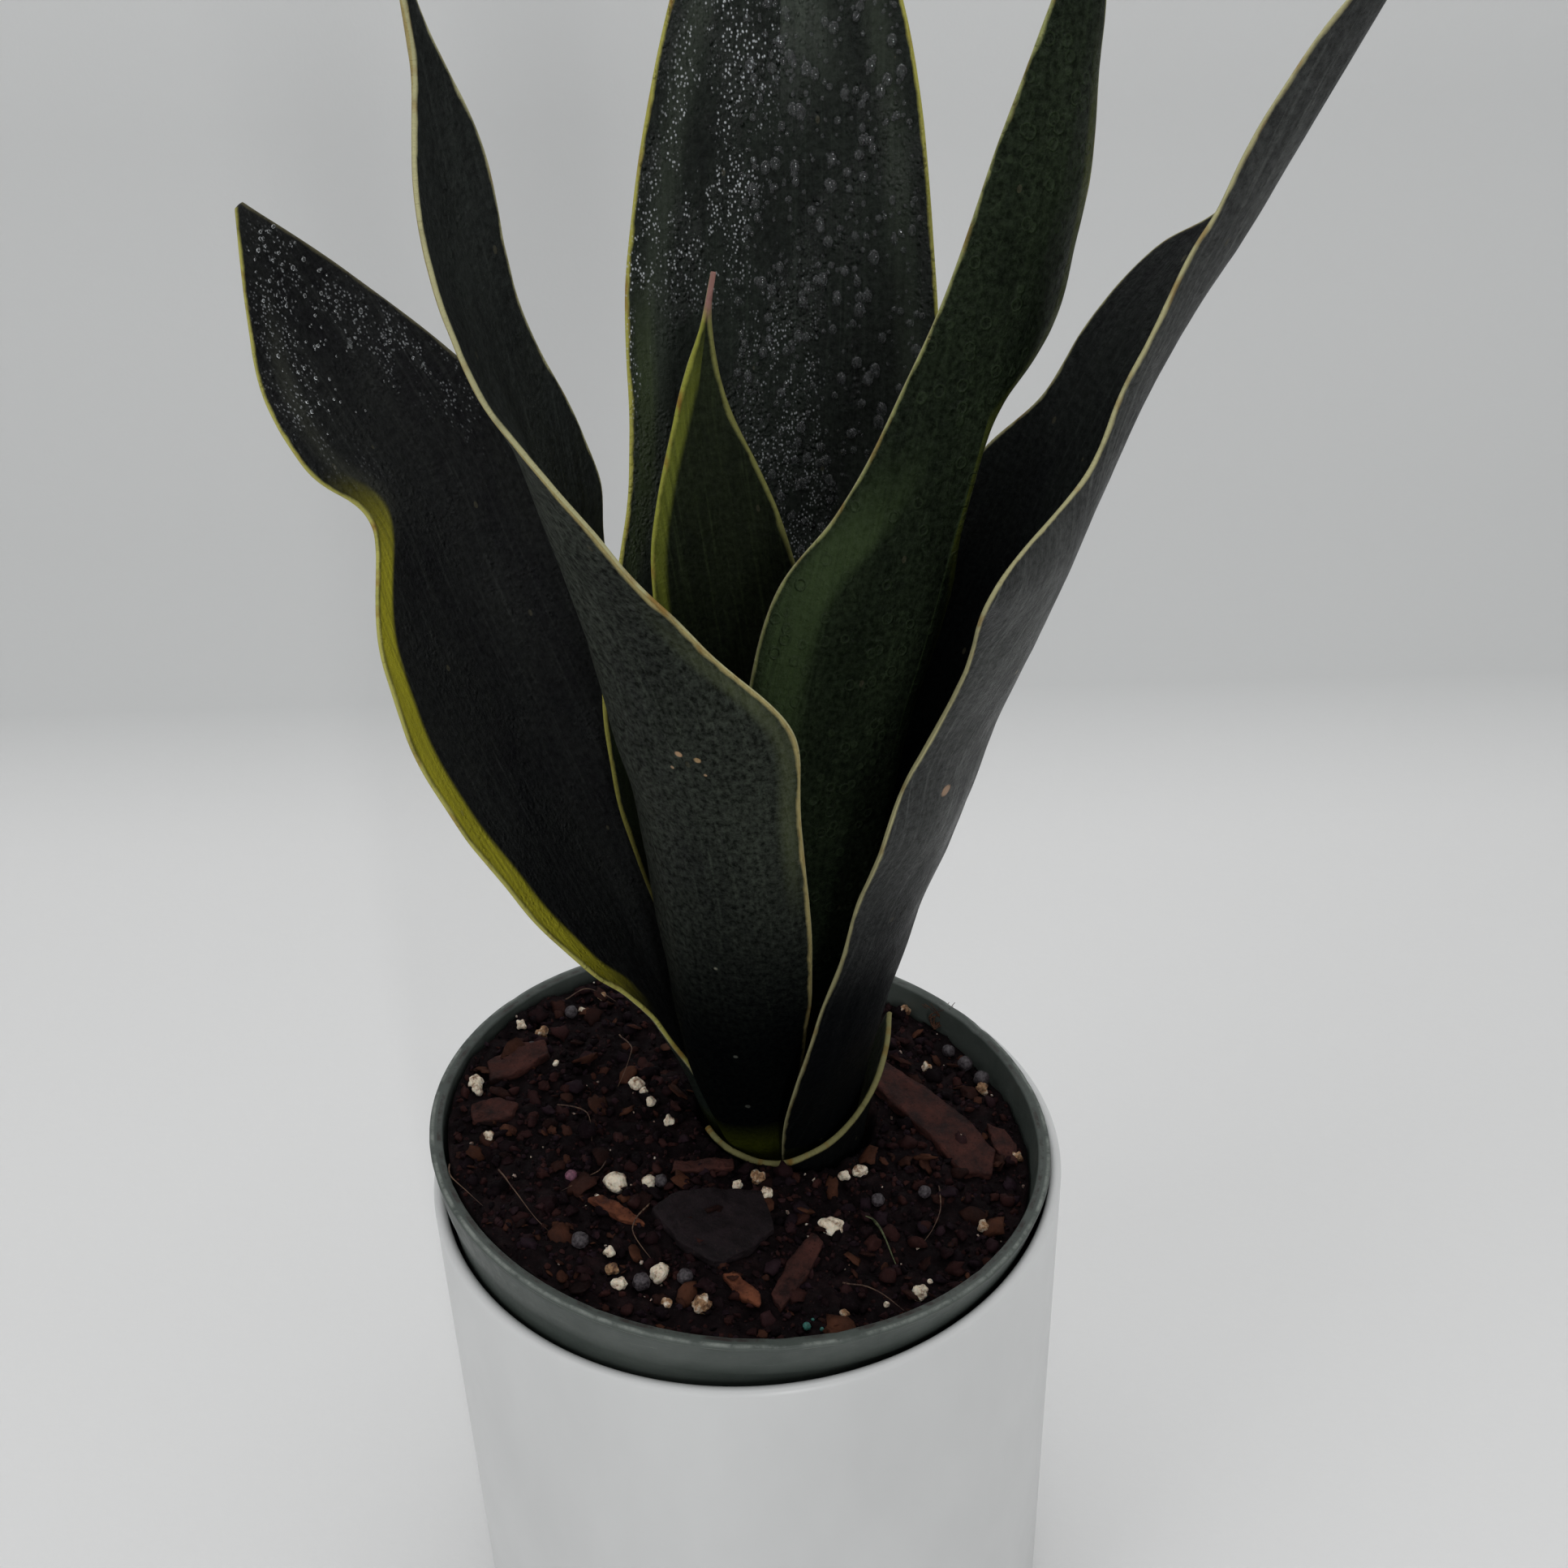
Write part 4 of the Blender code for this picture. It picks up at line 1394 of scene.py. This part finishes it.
    def build(self) -> None:
        """Model everything that lies on the mix."""
        barks = {t: BarkFinish(f"bark_{t.name.lower()}", *t.value).make() for t in BarkTone}
        for chip in CHIPS:
            self.build_chip(chip, barks[chip.tone])
        perlite = PerliteFinish().make()
        for number in range(1, len(GRAINS) + 1):
            self.build_grain(number, perlite)
        self.build_balls("perlite_specks", SMALL_PERLITE, perlite, 0.6)
        stone = PerliteFinish("tan_grit", tone(150, 116, 84), tone(84, 58, 42)).make()
        self.build_balls("tan_grit_grains", TAN_GRIT, stone, 0.6)
        grey = PrillFinish("prill_grey", tone(74, 68, 72), tone(36, 30, 34)).make()
        self.build_balls("grey_prills", GREY_PRILLS, grey)
        pink = PrillFinish("prill_pink", tone(124, 78, 96), tone(84, 50, 66)).make()
        self.build_balls("pink_prill", ((-42, -23, 3.2),), pink)
        teal = PrillFinish("prill_teal", tone(58, 118, 108), tone(34, 78, 72)).make()
        self.build_balls("teal_fleck", ((15, -67, 1.9), (18.5, -67, 1.0), (16.5, -64.5, 0.8)), teal)
        root = FibreFinish("dry_root", tone(62, 44, 38), tone(104, 82, 66)).make()
        self.build_fibres("fine_roots", ROOTS, 0.22, root)
        sprig = FibreFinish("green_shoot", tone(54, 62, 40), tone(96, 102, 72)).make()
        self.build_fibres("green_shoots", SHOOTS, 0.4, sprig)
        moss = FibreFinish("dry_moss", tone(44, 26, 20), tone(84, 54, 36)).make()
        rng = random.Random(5)
        tuft = [
            ((55, 50, 0.5), (56 + rng.uniform(-3, 3), 52 + rng.uniform(-1, 2), 3.5),
             (56 + rng.uniform(-5, 5), 52 + rng.uniform(-2, 3), rng.uniform(5.0, 8.5)))
            for _ in range(16)
        ]
        self.build_fibres("moss_tuft", tuft, 0.3, moss)


SMALL_PERLITE = (
    (-69, 8, 2.8), (-61, 37, 2.6), (-24, 8, 2.4), (-19, 1, 2.6), (-64, -10, 2.6), (26, -15, 2.6),
    (57, 2, 2.4), (28, -1, 2.4), (40, 18, 2.6), (43, -53, 2.0), (45, -50, 1.4), (-28, -58, 3.0),
    (6, -25, 3.0), (-1, -22, 2.4), (-31, -48, 2.6), (60, -28, 2.0), (-45, 46, 2.2), (-35, -30, 1.8),
    (-26, 12, 2.2), (34, -58, 1.4), (-50, 20, 1.6),
)
TAN_GRIT = (
    (66, 24, 3.4), (72, -3, 2.6), (47, 57, 3.0), (51, 32, 2.6), (-9, -64, 4.0), (-30, -54, 2.8),
    (-55, 34, 3.2), (4, -20, 3.6), (-17, -64, 2.4), (60, -30, 2.6), (24, -62, 2.2), (-40, 52, 2.4),
)
GREY_PRILLS = (
    (-57, 27, 3.0), (-20, -23, 3.2), (-23, -57, 4.2), (-13, -55, 3.8), (-48, 44, 3.6), (62, 34, 4.2),
    (66, 28, 4.4), (58, 40, 3.6), (-38, -46, 4.0), (34, -24, 3.4), (-6, 55, 3.6), (20, 60, 4.0),
    (46, -20, 3.2),
)
ROOTS = (
    ((-72, -22, 1.0), (-70, -30, 3.5), (-62, -36, 1.0)),
    ((-60, -22, 0.8), (-55, -32, 3.0), (-46, -42, 0.6)),
    ((-50, 50, 0.8), (-44, 53, 2.8), (-36, 50, 0.8)),
    ((-34, 36, 0.8), (-30, 24, 5.0), (-33, 14, 0.6)),
    ((50, -16, 0.6), (49, -28, 2.2), (44, -38, 0.5)),
    ((24, -52, 0.6), (32, -56, 2.4), (40, -62, 0.6)),
    ((-48, 4, 0.6), (-40, 0, 2.0), (-38, -10, 0.6)),
    ((-34, -16, 0.6), (-36, -22, 2.4), (-44, -28, 0.6)),
    ((4, 44, 0.6), (12, 52, 3.0), (22, 50, 0.6)),
    ((-22, -30, 0.8), (-26, -42, 2.6), (-20, -50, 0.6)),
)
SHOOTS = (
    ((33, -31, 0.5), (34, -36, 2.4), (37, -45, 0.8)),
    ((33, -31, 0.5), (32, -33, 3.0), (30, -34, 4.2)),
)


# -------------------------------------------------------------- the rosette

CREAM = tone(178, 174, 132)
YELLOW = tone(172, 166, 44)
# Colour of painted glints on wet leaves.
PAINTED_GLINT = tone(206, 210, 213)


def rosette() -> list[Leaf]:
    """Describe the leaves, from the back one to the young one in the middle."""
    back = Leaf(
        "back_leaf",
        [
            (9, 20, 150, -90, 12, 11, 75, 75), (10, 25, 185, -90, 22, 17, 72, 70),
            (10, 30, 230, -90, 39.5, 34, 62, 55), (10, 33, 280, -90, 46, 41, 50, 38),
            (13, 35, 330, -90, 36, 38, 32, 25), (15, 36, 380, -90, 33.5, 33, 15, 15),
            (16, 40, 430, -90, 22.5, 25, 10, 10), (19, 50, 488, -90, 1, 1, 5, 5),
        ],
        LeafFinish(
            "back_leaf_inner", tone(9, 14, 11), tone(31, 38, 31), margin=tone(176, 172, 84), wet=1.0,
            margin_width=1.0, rough=(0.3, 0.55), gloss=0.2, shade=(225.0, 330.0, 0.85), margin_shade=1.1,
            wet_glint_films=(
                Band(Half.LEFT, 4.0, 26.0, 375, 455, PAINTED_GLINT, 1.0, 3.0),
                Band(Half.LEFT, 0.0, 5.0, 350, 390, PAINTED_GLINT, 1.0, 1.0),
                Band(Half.BOTH, 27.0, 42.0, 300, 375, PAINTED_GLINT, 0.6, 5.0),
            ),
            bands=(
                Band(Half.BOTH, 4.0, 9.0, 300, 480, tone(62, 70, 58), 0.45, 2.0),
                Band(Half.RIGHT, 16.0, 40.0, 420, 490, tone(84, 92, 82), 0.5, 4.0),
                Band(Half.LEFT, 1.5, 6.0, 240, 370, tone(64, 76, 44), 0.6, 1.5),
            ),
        ),
        LeafFinish("back_leaf_outer", tone(24, 30, 25), tone(44, 52, 45)),
        seed=1.0,
    )
    front = Leaf(
        "front_leaf",
        [
            (1.5, -1.5, 150, 60, 12, 7, 68, 75), (-7.8, -11.5, 190, 58, 23, 15.5, 54, 68),
            (-12, -23.5, 240, 46, 31, 24.5, 54, 56), (-15, -30.5, 277, 42, 32.5, 27, 60, 55),
            (-19.5, -35.5, 303, 38, 36.5, 28, 62, 53), (-23.5, -38, 324, 30, 24.5, 29, 60, 50),
            (-30, -41, 350, 9, 21, 24, 50, 45), (-36, -44, 380, -10, 22, 12.5, 30, 30),
            (-39, -47, 398, -16, 23, 10.5, 28, 28), (-41, -50, 415, -20, 16, 11, 25, 25),
            (-41.8, -54, 432, -23, 3, 6, 18, 18), (-42, -58, 448, -25, 1, 1, 10, 10),
        ],
        LeafFinish("front_leaf_inner", tone(12, 15, 14), tone(38, 42, 39), margin=CREAM, wet=0.35),
        LeafFinish(
            "front_leaf_outer", tone(15, 19, 16), tone(47, 53, 44), margin=tone(186, 172, 116),
            margin_width=1.3, pebbles=0.0003, leather=0.95, shade=(205.0, 285.0, 0.93), rough=(0.42, 0.7),
            glow_height=176.0, glow=tone(96, 104, 18),
            bands=(Band(Half.LEFT, 1.0, 4.5, 265, 330, tone(98, 106, 74), 0.45, 1.5),),
            scars=(
                Scar(-13.0, 302.0, 0.8, tone(186, 152, 118)), Scar(-16.5, 301.0, 0.7, tone(170, 142, 104)),
                Scar(-10.5, 298.0, 0.4, tone(168, 140, 110)), Scar(-17.0, 297.0, 0.4, tone(168, 140, 110)),
                Scar(-9.0, 205.0, 0.6, tone(80, 82, 76)), Scar(-8.0, 184.0, 0.7, tone(74, 76, 70)),
                Scar(-9.0, 238.0, 0.5, tone(110, 110, 98)),
            ),
        ),
        seed=2.0,
    )
    centre_right = Leaf(
        "centre_right_leaf",
        [
            (13.5, 5.5, 150, 135, 8, 8, 75, 75), (20, -2, 185, 135, 8, 15, 62, 62),
            (27.5, -10, 230, 133, 7, 24, 52, 55), (35, -13, 280, 128, 6, 33.5, 46, 45),
            (43.5, -13, 315, 125, 6, 35, 42, 40), (48.5, -12.5, 336, 123, 2, 25.5, 38, 36),
            (53.5, -11.5, 356, 121, 2, 19.5, 34, 33), (61, -10, 380, 116, 12, 16, 30, 30),
            (69, -8, 414, 116, 7, 12.5, 30, 30), (72.5, -3, 455, 116, 1, 1, 10, 10),
        ],
        LeafFinish("centre_right_inner", tone(12, 18, 11), tone(30, 36, 26), margin=CREAM),
        LeafFinish(
            "centre_right_outer", tone(12, 21, 9), tone(38, 49, 30), margin=tone(166, 170, 110), streaks=0.2,
            pebbles=0.0003, leather=0.7, rings=1.0, shade=(190.0, 270.0, 0.7), pebble_scale=0.55,
            rough=(0.3, 0.58), wet=0.3, glow_height=182.0,
            bands=(
                Band(Half.RIGHT, 1.5, 11.0, 290, 345, tone(74, 92, 56), 0.6, 2.0),
                Band(Half.LEFT, 0.5, 3.0, 220, 420, tone(96, 104, 40), 0.6, 1.0),
            ),
        ),
        seed=3.0,
    )
    right = Leaf(
        "right_leaf",
        [
            (25.5, 9, 150, 180, 10, 22, 75, 90), (32, 4, 190, 182, 10, 33, 65, 74),
            (41, -5, 235, 184, 25, 34, 60, 70), (49, -8.7, 262, 184, 30, 37, 58, 68),
            (54, -10.7, 279, 185, 32.5, 40, 57, 67), (59, -12.2, 297, 185, 33, 36, 57, 66),
            (67, -14, 318, 185, 33, 38.5, 55, 62), (73, -15, 336, 185, 31.5, 45, 52, 60),
            (79, -16.3, 353, 183, 23, 20, 48, 53), (84.7, -17.8, 368, 179, 22.5, 16.5, 44, 50),
            (92.5, -19.6, 384, 171, 21, 15.5, 40, 46), (100.2, -21, 398, 160, 13.5, 14.5, 38, 42),
            (113, -24, 426, 148, 6, 10.5, 30, 35), (129.5, -27, 458, 145, 1, 1, 10, 10),
        ],
        LeafFinish("right_leaf_inner", tone(7, 8, 11), tone(34, 38, 35), CREAM, shade=(300.0, 370.0, 0.75)),
        LeafFinish(
            "right_leaf_outer", tone(26, 28, 28), tone(60, 62, 60), margin=tone(172, 166, 124), streaks=0.8,
            margin_width=0.8, rough=(0.3, 0.55), gloss=0.2, pebbles=0.00007, shade=(220.0, 285.0, 0.93),
            scars=(Scar(26.0, 287.0, 1.3, tone(156, 128, 104)), Scar(18.0, 312.0, 0.6, tone(120, 112, 96))),
        ),
        seed=4.0,
    )
    left = Leaf(
        "left_leaf",
        [
            (-8, 12, 150, -5, 8.5, 15, 75, 75), (-17, 16, 185, -28, 13.5, 20, 65, 58),
            (-25, 18.2, 207, -39, 17.5, 23, 57, 50), (-32, 20, 225, -48, 25.5, 25, 50, 42),
            (-48, 24, 270, -52, 34.5, 29, 40, 35), (-60, 27, 305, -47, 33, 29, 35, 30),
            (-68, 30, 332, -43, 18.5, 27, 28, 25), (-77, 30, 352, -43, 25, 22, 24, 22),
            (-87, 28, 375, -43, 18, 11.5, 18, 18), (-95, 20, 397, -43, 1, 1, 8, 8),
        ],
        LeafFinish(
            "left_leaf_inner", tone(8, 8, 12), tone(31, 33, 31), margin=tone(176, 172, 92), wet=0.5,
            right_margin=tone(92, 88, 66),
            wet_glint_films=(Band(Half.BOTH, 2.0, 14.0, 345, 392, PAINTED_GLINT, 0.45, 3.0),),
            streaks=0.5, glow_height=150.0,
            bands=(
                Band(Half.LEFT, 0.8, 6.0, 212, 330, YELLOW, 1.0, 0.9),
                Band(Half.LEFT, 5.0, 9.0, 330, 372, tone(84, 86, 74), 0.25, 2.0),
            ),
        ),
        LeafFinish("left_leaf_outer", tone(22, 28, 24), tone(44, 52, 46), margin=CREAM),
        seed=5.0,
    )
    young = Leaf(
        "young_leaf",
        [
            (9, 10.5, 150, -90, 4.5, 4.5, 75, 75), (7, 9, 220, -90, 12, 12, 60, 60),
            (4, 8, 285, -90, 18, 18, 40, 40), (0, 8, 325, -90, 16, 16, 30, 30),
            (-3, 8, 355, -90, 5.5, 6.8, 25, 25), (-1, 7, 373, -90, 1.2, 1.2, 15, 15),
            (1, 8, 384, -90, 0.5, 0.5, 5, 5),
        ],
        LeafFinish(
            "young_leaf_inner", tone(10, 17, 6), tone(32, 40, 20), margin=tone(150, 152, 64), streaks=0.6,
            margin_width=0.9, right_margin=tone(124, 124, 70), tip=(376.0, tone(150, 112, 104)),
            bands=(Band(Half.LEFT, 0.5, 3.2, 200, 366, tone(116, 124, 44), 0.8, 0.8),),
        ),
        LeafFinish("young_leaf_outer", tone(16, 24, 12), tone(40, 48, 28), margin=CREAM),
        wave=0.25,
        seed=6.0,
    )
    return [back, front, centre_right, right, left, young]


def build_plant(crown: Vector) -> None:
    """Model the rosette, its sheath and the water on it, and dress its rhizome.

    Args:
        crown: The foot of the rosette.
    """
    leaves = rosette()
    for leaf in leaves:
        leaf.build()
    water = WaterFinish().make()
    back, _, centre_right, _, left, _ = leaves
    Drops(back, 700, (290.0, 440.0), (-0.3, 0.92), (0.4, 1.4), 11).build(water)
    Drops(left, 130, (350.0, 392.0), (-0.8, 0.8), (0.2, 0.55), 12).build(water)
    track = (
        (-152, 20, 21, 167), (-120, 19, 22, 166), (-90, 20, 23, 166),
        (-55, 20.3, 23.7, 171), (-20, 20.5, 26, 181), (12, 21, 28, 190),
    )
    dry = tone(140, 136, 90)
    inner = LeafFinish("sheath_inner", tone(20, 28, 16), tone(52, 60, 38), dry, glow_height=166.0)
    outer = LeafFinish("sheath_outer", tone(8, 8, 11), tone(26, 28, 24), dry, glow_height=150.0)
    Sheath(crown, track, inner, outer).build()
    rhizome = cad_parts["rhizome"]
    rhizome.data.materials.clear()
    rhizome.data.materials.append(BarkFinish("rhizome_skin", tone(122, 82, 46), tone(176, 132, 86)).make())
    LOG.info("rhizome keeps its solid")


# ------------------------------------------------------------------- studio


class Softbox(NamedTuple):
    """A rectangular soft light: place and size in metres, power in watts, and the point that it faces."""

    name: str
    at: Spot
    size: tuple[float, float]
    power: float
    aim: Spot = (0.0, 0.0, 0.25)


SOFTBOXES = (
    Softbox("overhead_softbox", (0.1, 0.1, 1.7), (1.3, 1.3), 10.0),
    Softbox("left_softbox", (-1.3, -0.9, 1.0), (1.0, 1.0), 5.5),
    Softbox("right_fill", (1.4, -0.6, 0.8), (1.0, 1.0), 1.4),
    Softbox("front_strip", (0.3, -1.4, 0.6), (0.07, 0.7), 4.0, (0.0, 0.0, 0.4)),
)


@dataclass
class Studio:
    """A pale paper sweep, soft lights and the camera."""

    half_width: float = 2.2
    air: tuple[float, float, float, float] = (0.99, 1.0, 1.0, 1.0)
    air_strength: float = 0.33
    sensor: float = 36.0
    eye: Spot = (12.2, -352.6, 477.8)
    down: float = 30.65
    roll: float = -1.63
    lens: float = 40.99

    def build_sweep(self) -> None:
        """Model the floor, which curves up into a wall behind."""
        run = [(-1600.0, 0.0), (350.0, 0.0)]
        run += [*arc((350.0, 300.0), 300.0, -84, 0, 24), (650.0, 1800.0)]
        bm = bmesh.new()
        verts = [bm.verts.new((-self.half_width, y * MM, z * MM)) for y, z in run]
        edges = [bm.edges.new(pair) for pair in zip(verts, verts[1:])]
        far = bmesh.ops.extrude_edge_only(bm, edges=edges)["geom"]
        swept = [g for g in far if isinstance(g, bmesh.types.BMVert)]
        bmesh.ops.translate(bm, verts=swept, vec=(2 * self.half_width, 0.0, 0.0))
        add_piece("paper_sweep", bm, StudioFinish().make())

    def add_light(self, box: Softbox) -> None:
        """Add a rectangular soft light.

        Args:
            box: The light.
        """
        lamp = bpy.data.lights.new(box.name, "AREA")
        lamp.shape, lamp.energy = "RECTANGLE", box.power
        lamp.size, lamp.size_y = box.size
        made = bpy.data.objects.new(box.name, lamp)
        made.location = box.at
        made.rotation_euler = (Vector(box.aim) - Vector(box.at)).to_track_quat("-Z", "Y").to_euler()
        bpy.context.scene.collection.objects.link(made)

    def add_camera(self) -> None:
        """Add the camera, pitched down and rolled a little."""
        lens = bpy.data.cameras.new("camera")
        lens.lens, lens.sensor_width, lens.clip_start = self.lens, self.sensor, 0.01
        camera = bpy.data.objects.new("camera", lens)
        pitch, roll = math.radians(self.down), math.radians(self.roll)
        ahead = Vector((0.0, math.cos(pitch), -math.sin(pitch)))
        right = Vector((1.0, 0.0, 0.0))
        above = right.cross(ahead)
        rolled_right = right * math.cos(roll) + above * math.sin(roll)
        rolled_above = above * math.cos(roll) - right * math.sin(roll)
        turned = Matrix((rolled_right, rolled_above, -ahead)).transposed().to_4x4()
        camera.matrix_world = Matrix.Translation(Vector(self.eye) * MM) @ turned
        bpy.context.scene.collection.objects.link(camera)
        bpy.context.scene.camera = camera

    def build(self) -> None:
        """Set up the sweep, the lights, the air round them and the camera."""
        self.build_sweep()
        for box in SOFTBOXES:
            self.add_light(box)
        world = bpy.data.worlds.new("soft_room")
        world.use_nodes = True
        background = world.node_tree.nodes["Background"].inputs
        background["Color"].default_value = self.air
        background["Strength"].default_value = self.air_strength
        bpy.context.scene.world = world
        bpy.context.scene.view_settings.view_transform = "Standard"
        self.add_camera()


def main() -> None:
    """Build every sub-assembly and the studio round them."""
    logging.basicConfig(level=logging.INFO, format="%(message)s")
    noise.seed_set(NOISE_SEED)
    crown = Vector((9.0, 10.0, FOOT))
    Cachepot().build()
    pot = NurseryPot()
    pot.build()
    bed = Bed(pot, crown)
    bed.build()
    soil = (
        tone(8, 4, 7), tone(20, 11, 15), tone(38, 21, 23),
        tone(56, 32, 29), tone(40, 28, 35), tone(15, 8, 12),
    )
    bark = (tone(26, 14, 13), tone(54, 31, 26), tone(84, 52, 38), tone(38, 22, 20))
    crumb, bits = CrumbFinish("mix_crumb", soil).make(), CrumbFinish("bark_bit", bark).make()
    grit = PerliteFinish("perlite_dust", tone(166, 148, 136), tone(90, 68, 60)).make()
    Crumbs(bed, "mix_crumbs_fine", "potting_mix", 3600, (0.7, 2.2), (0.5, 1.0), 0.1, 1).build(crumb)
    Crumbs(bed, "mix_crumbs_coarse", "potting_mix", 620, (2.0, 5.2), (0.35, 0.9), 0.12, 2, 2).build(crumb)
    Crumbs(bed, "bark_bits", "bark", 240, (2.0, 7.5), (0.14, 0.28), 0.16, 3, 2).build(bits)
    Crumbs(bed, "perlite_crumbs", "perlite", 90, (0.5, 1.5), (0.7, 1.0), 0.3, 4).build(grit)
    TopDressing(bed).build()
    build_plant(crown)
    Studio().build()


if __name__ == "__main__":
    main()
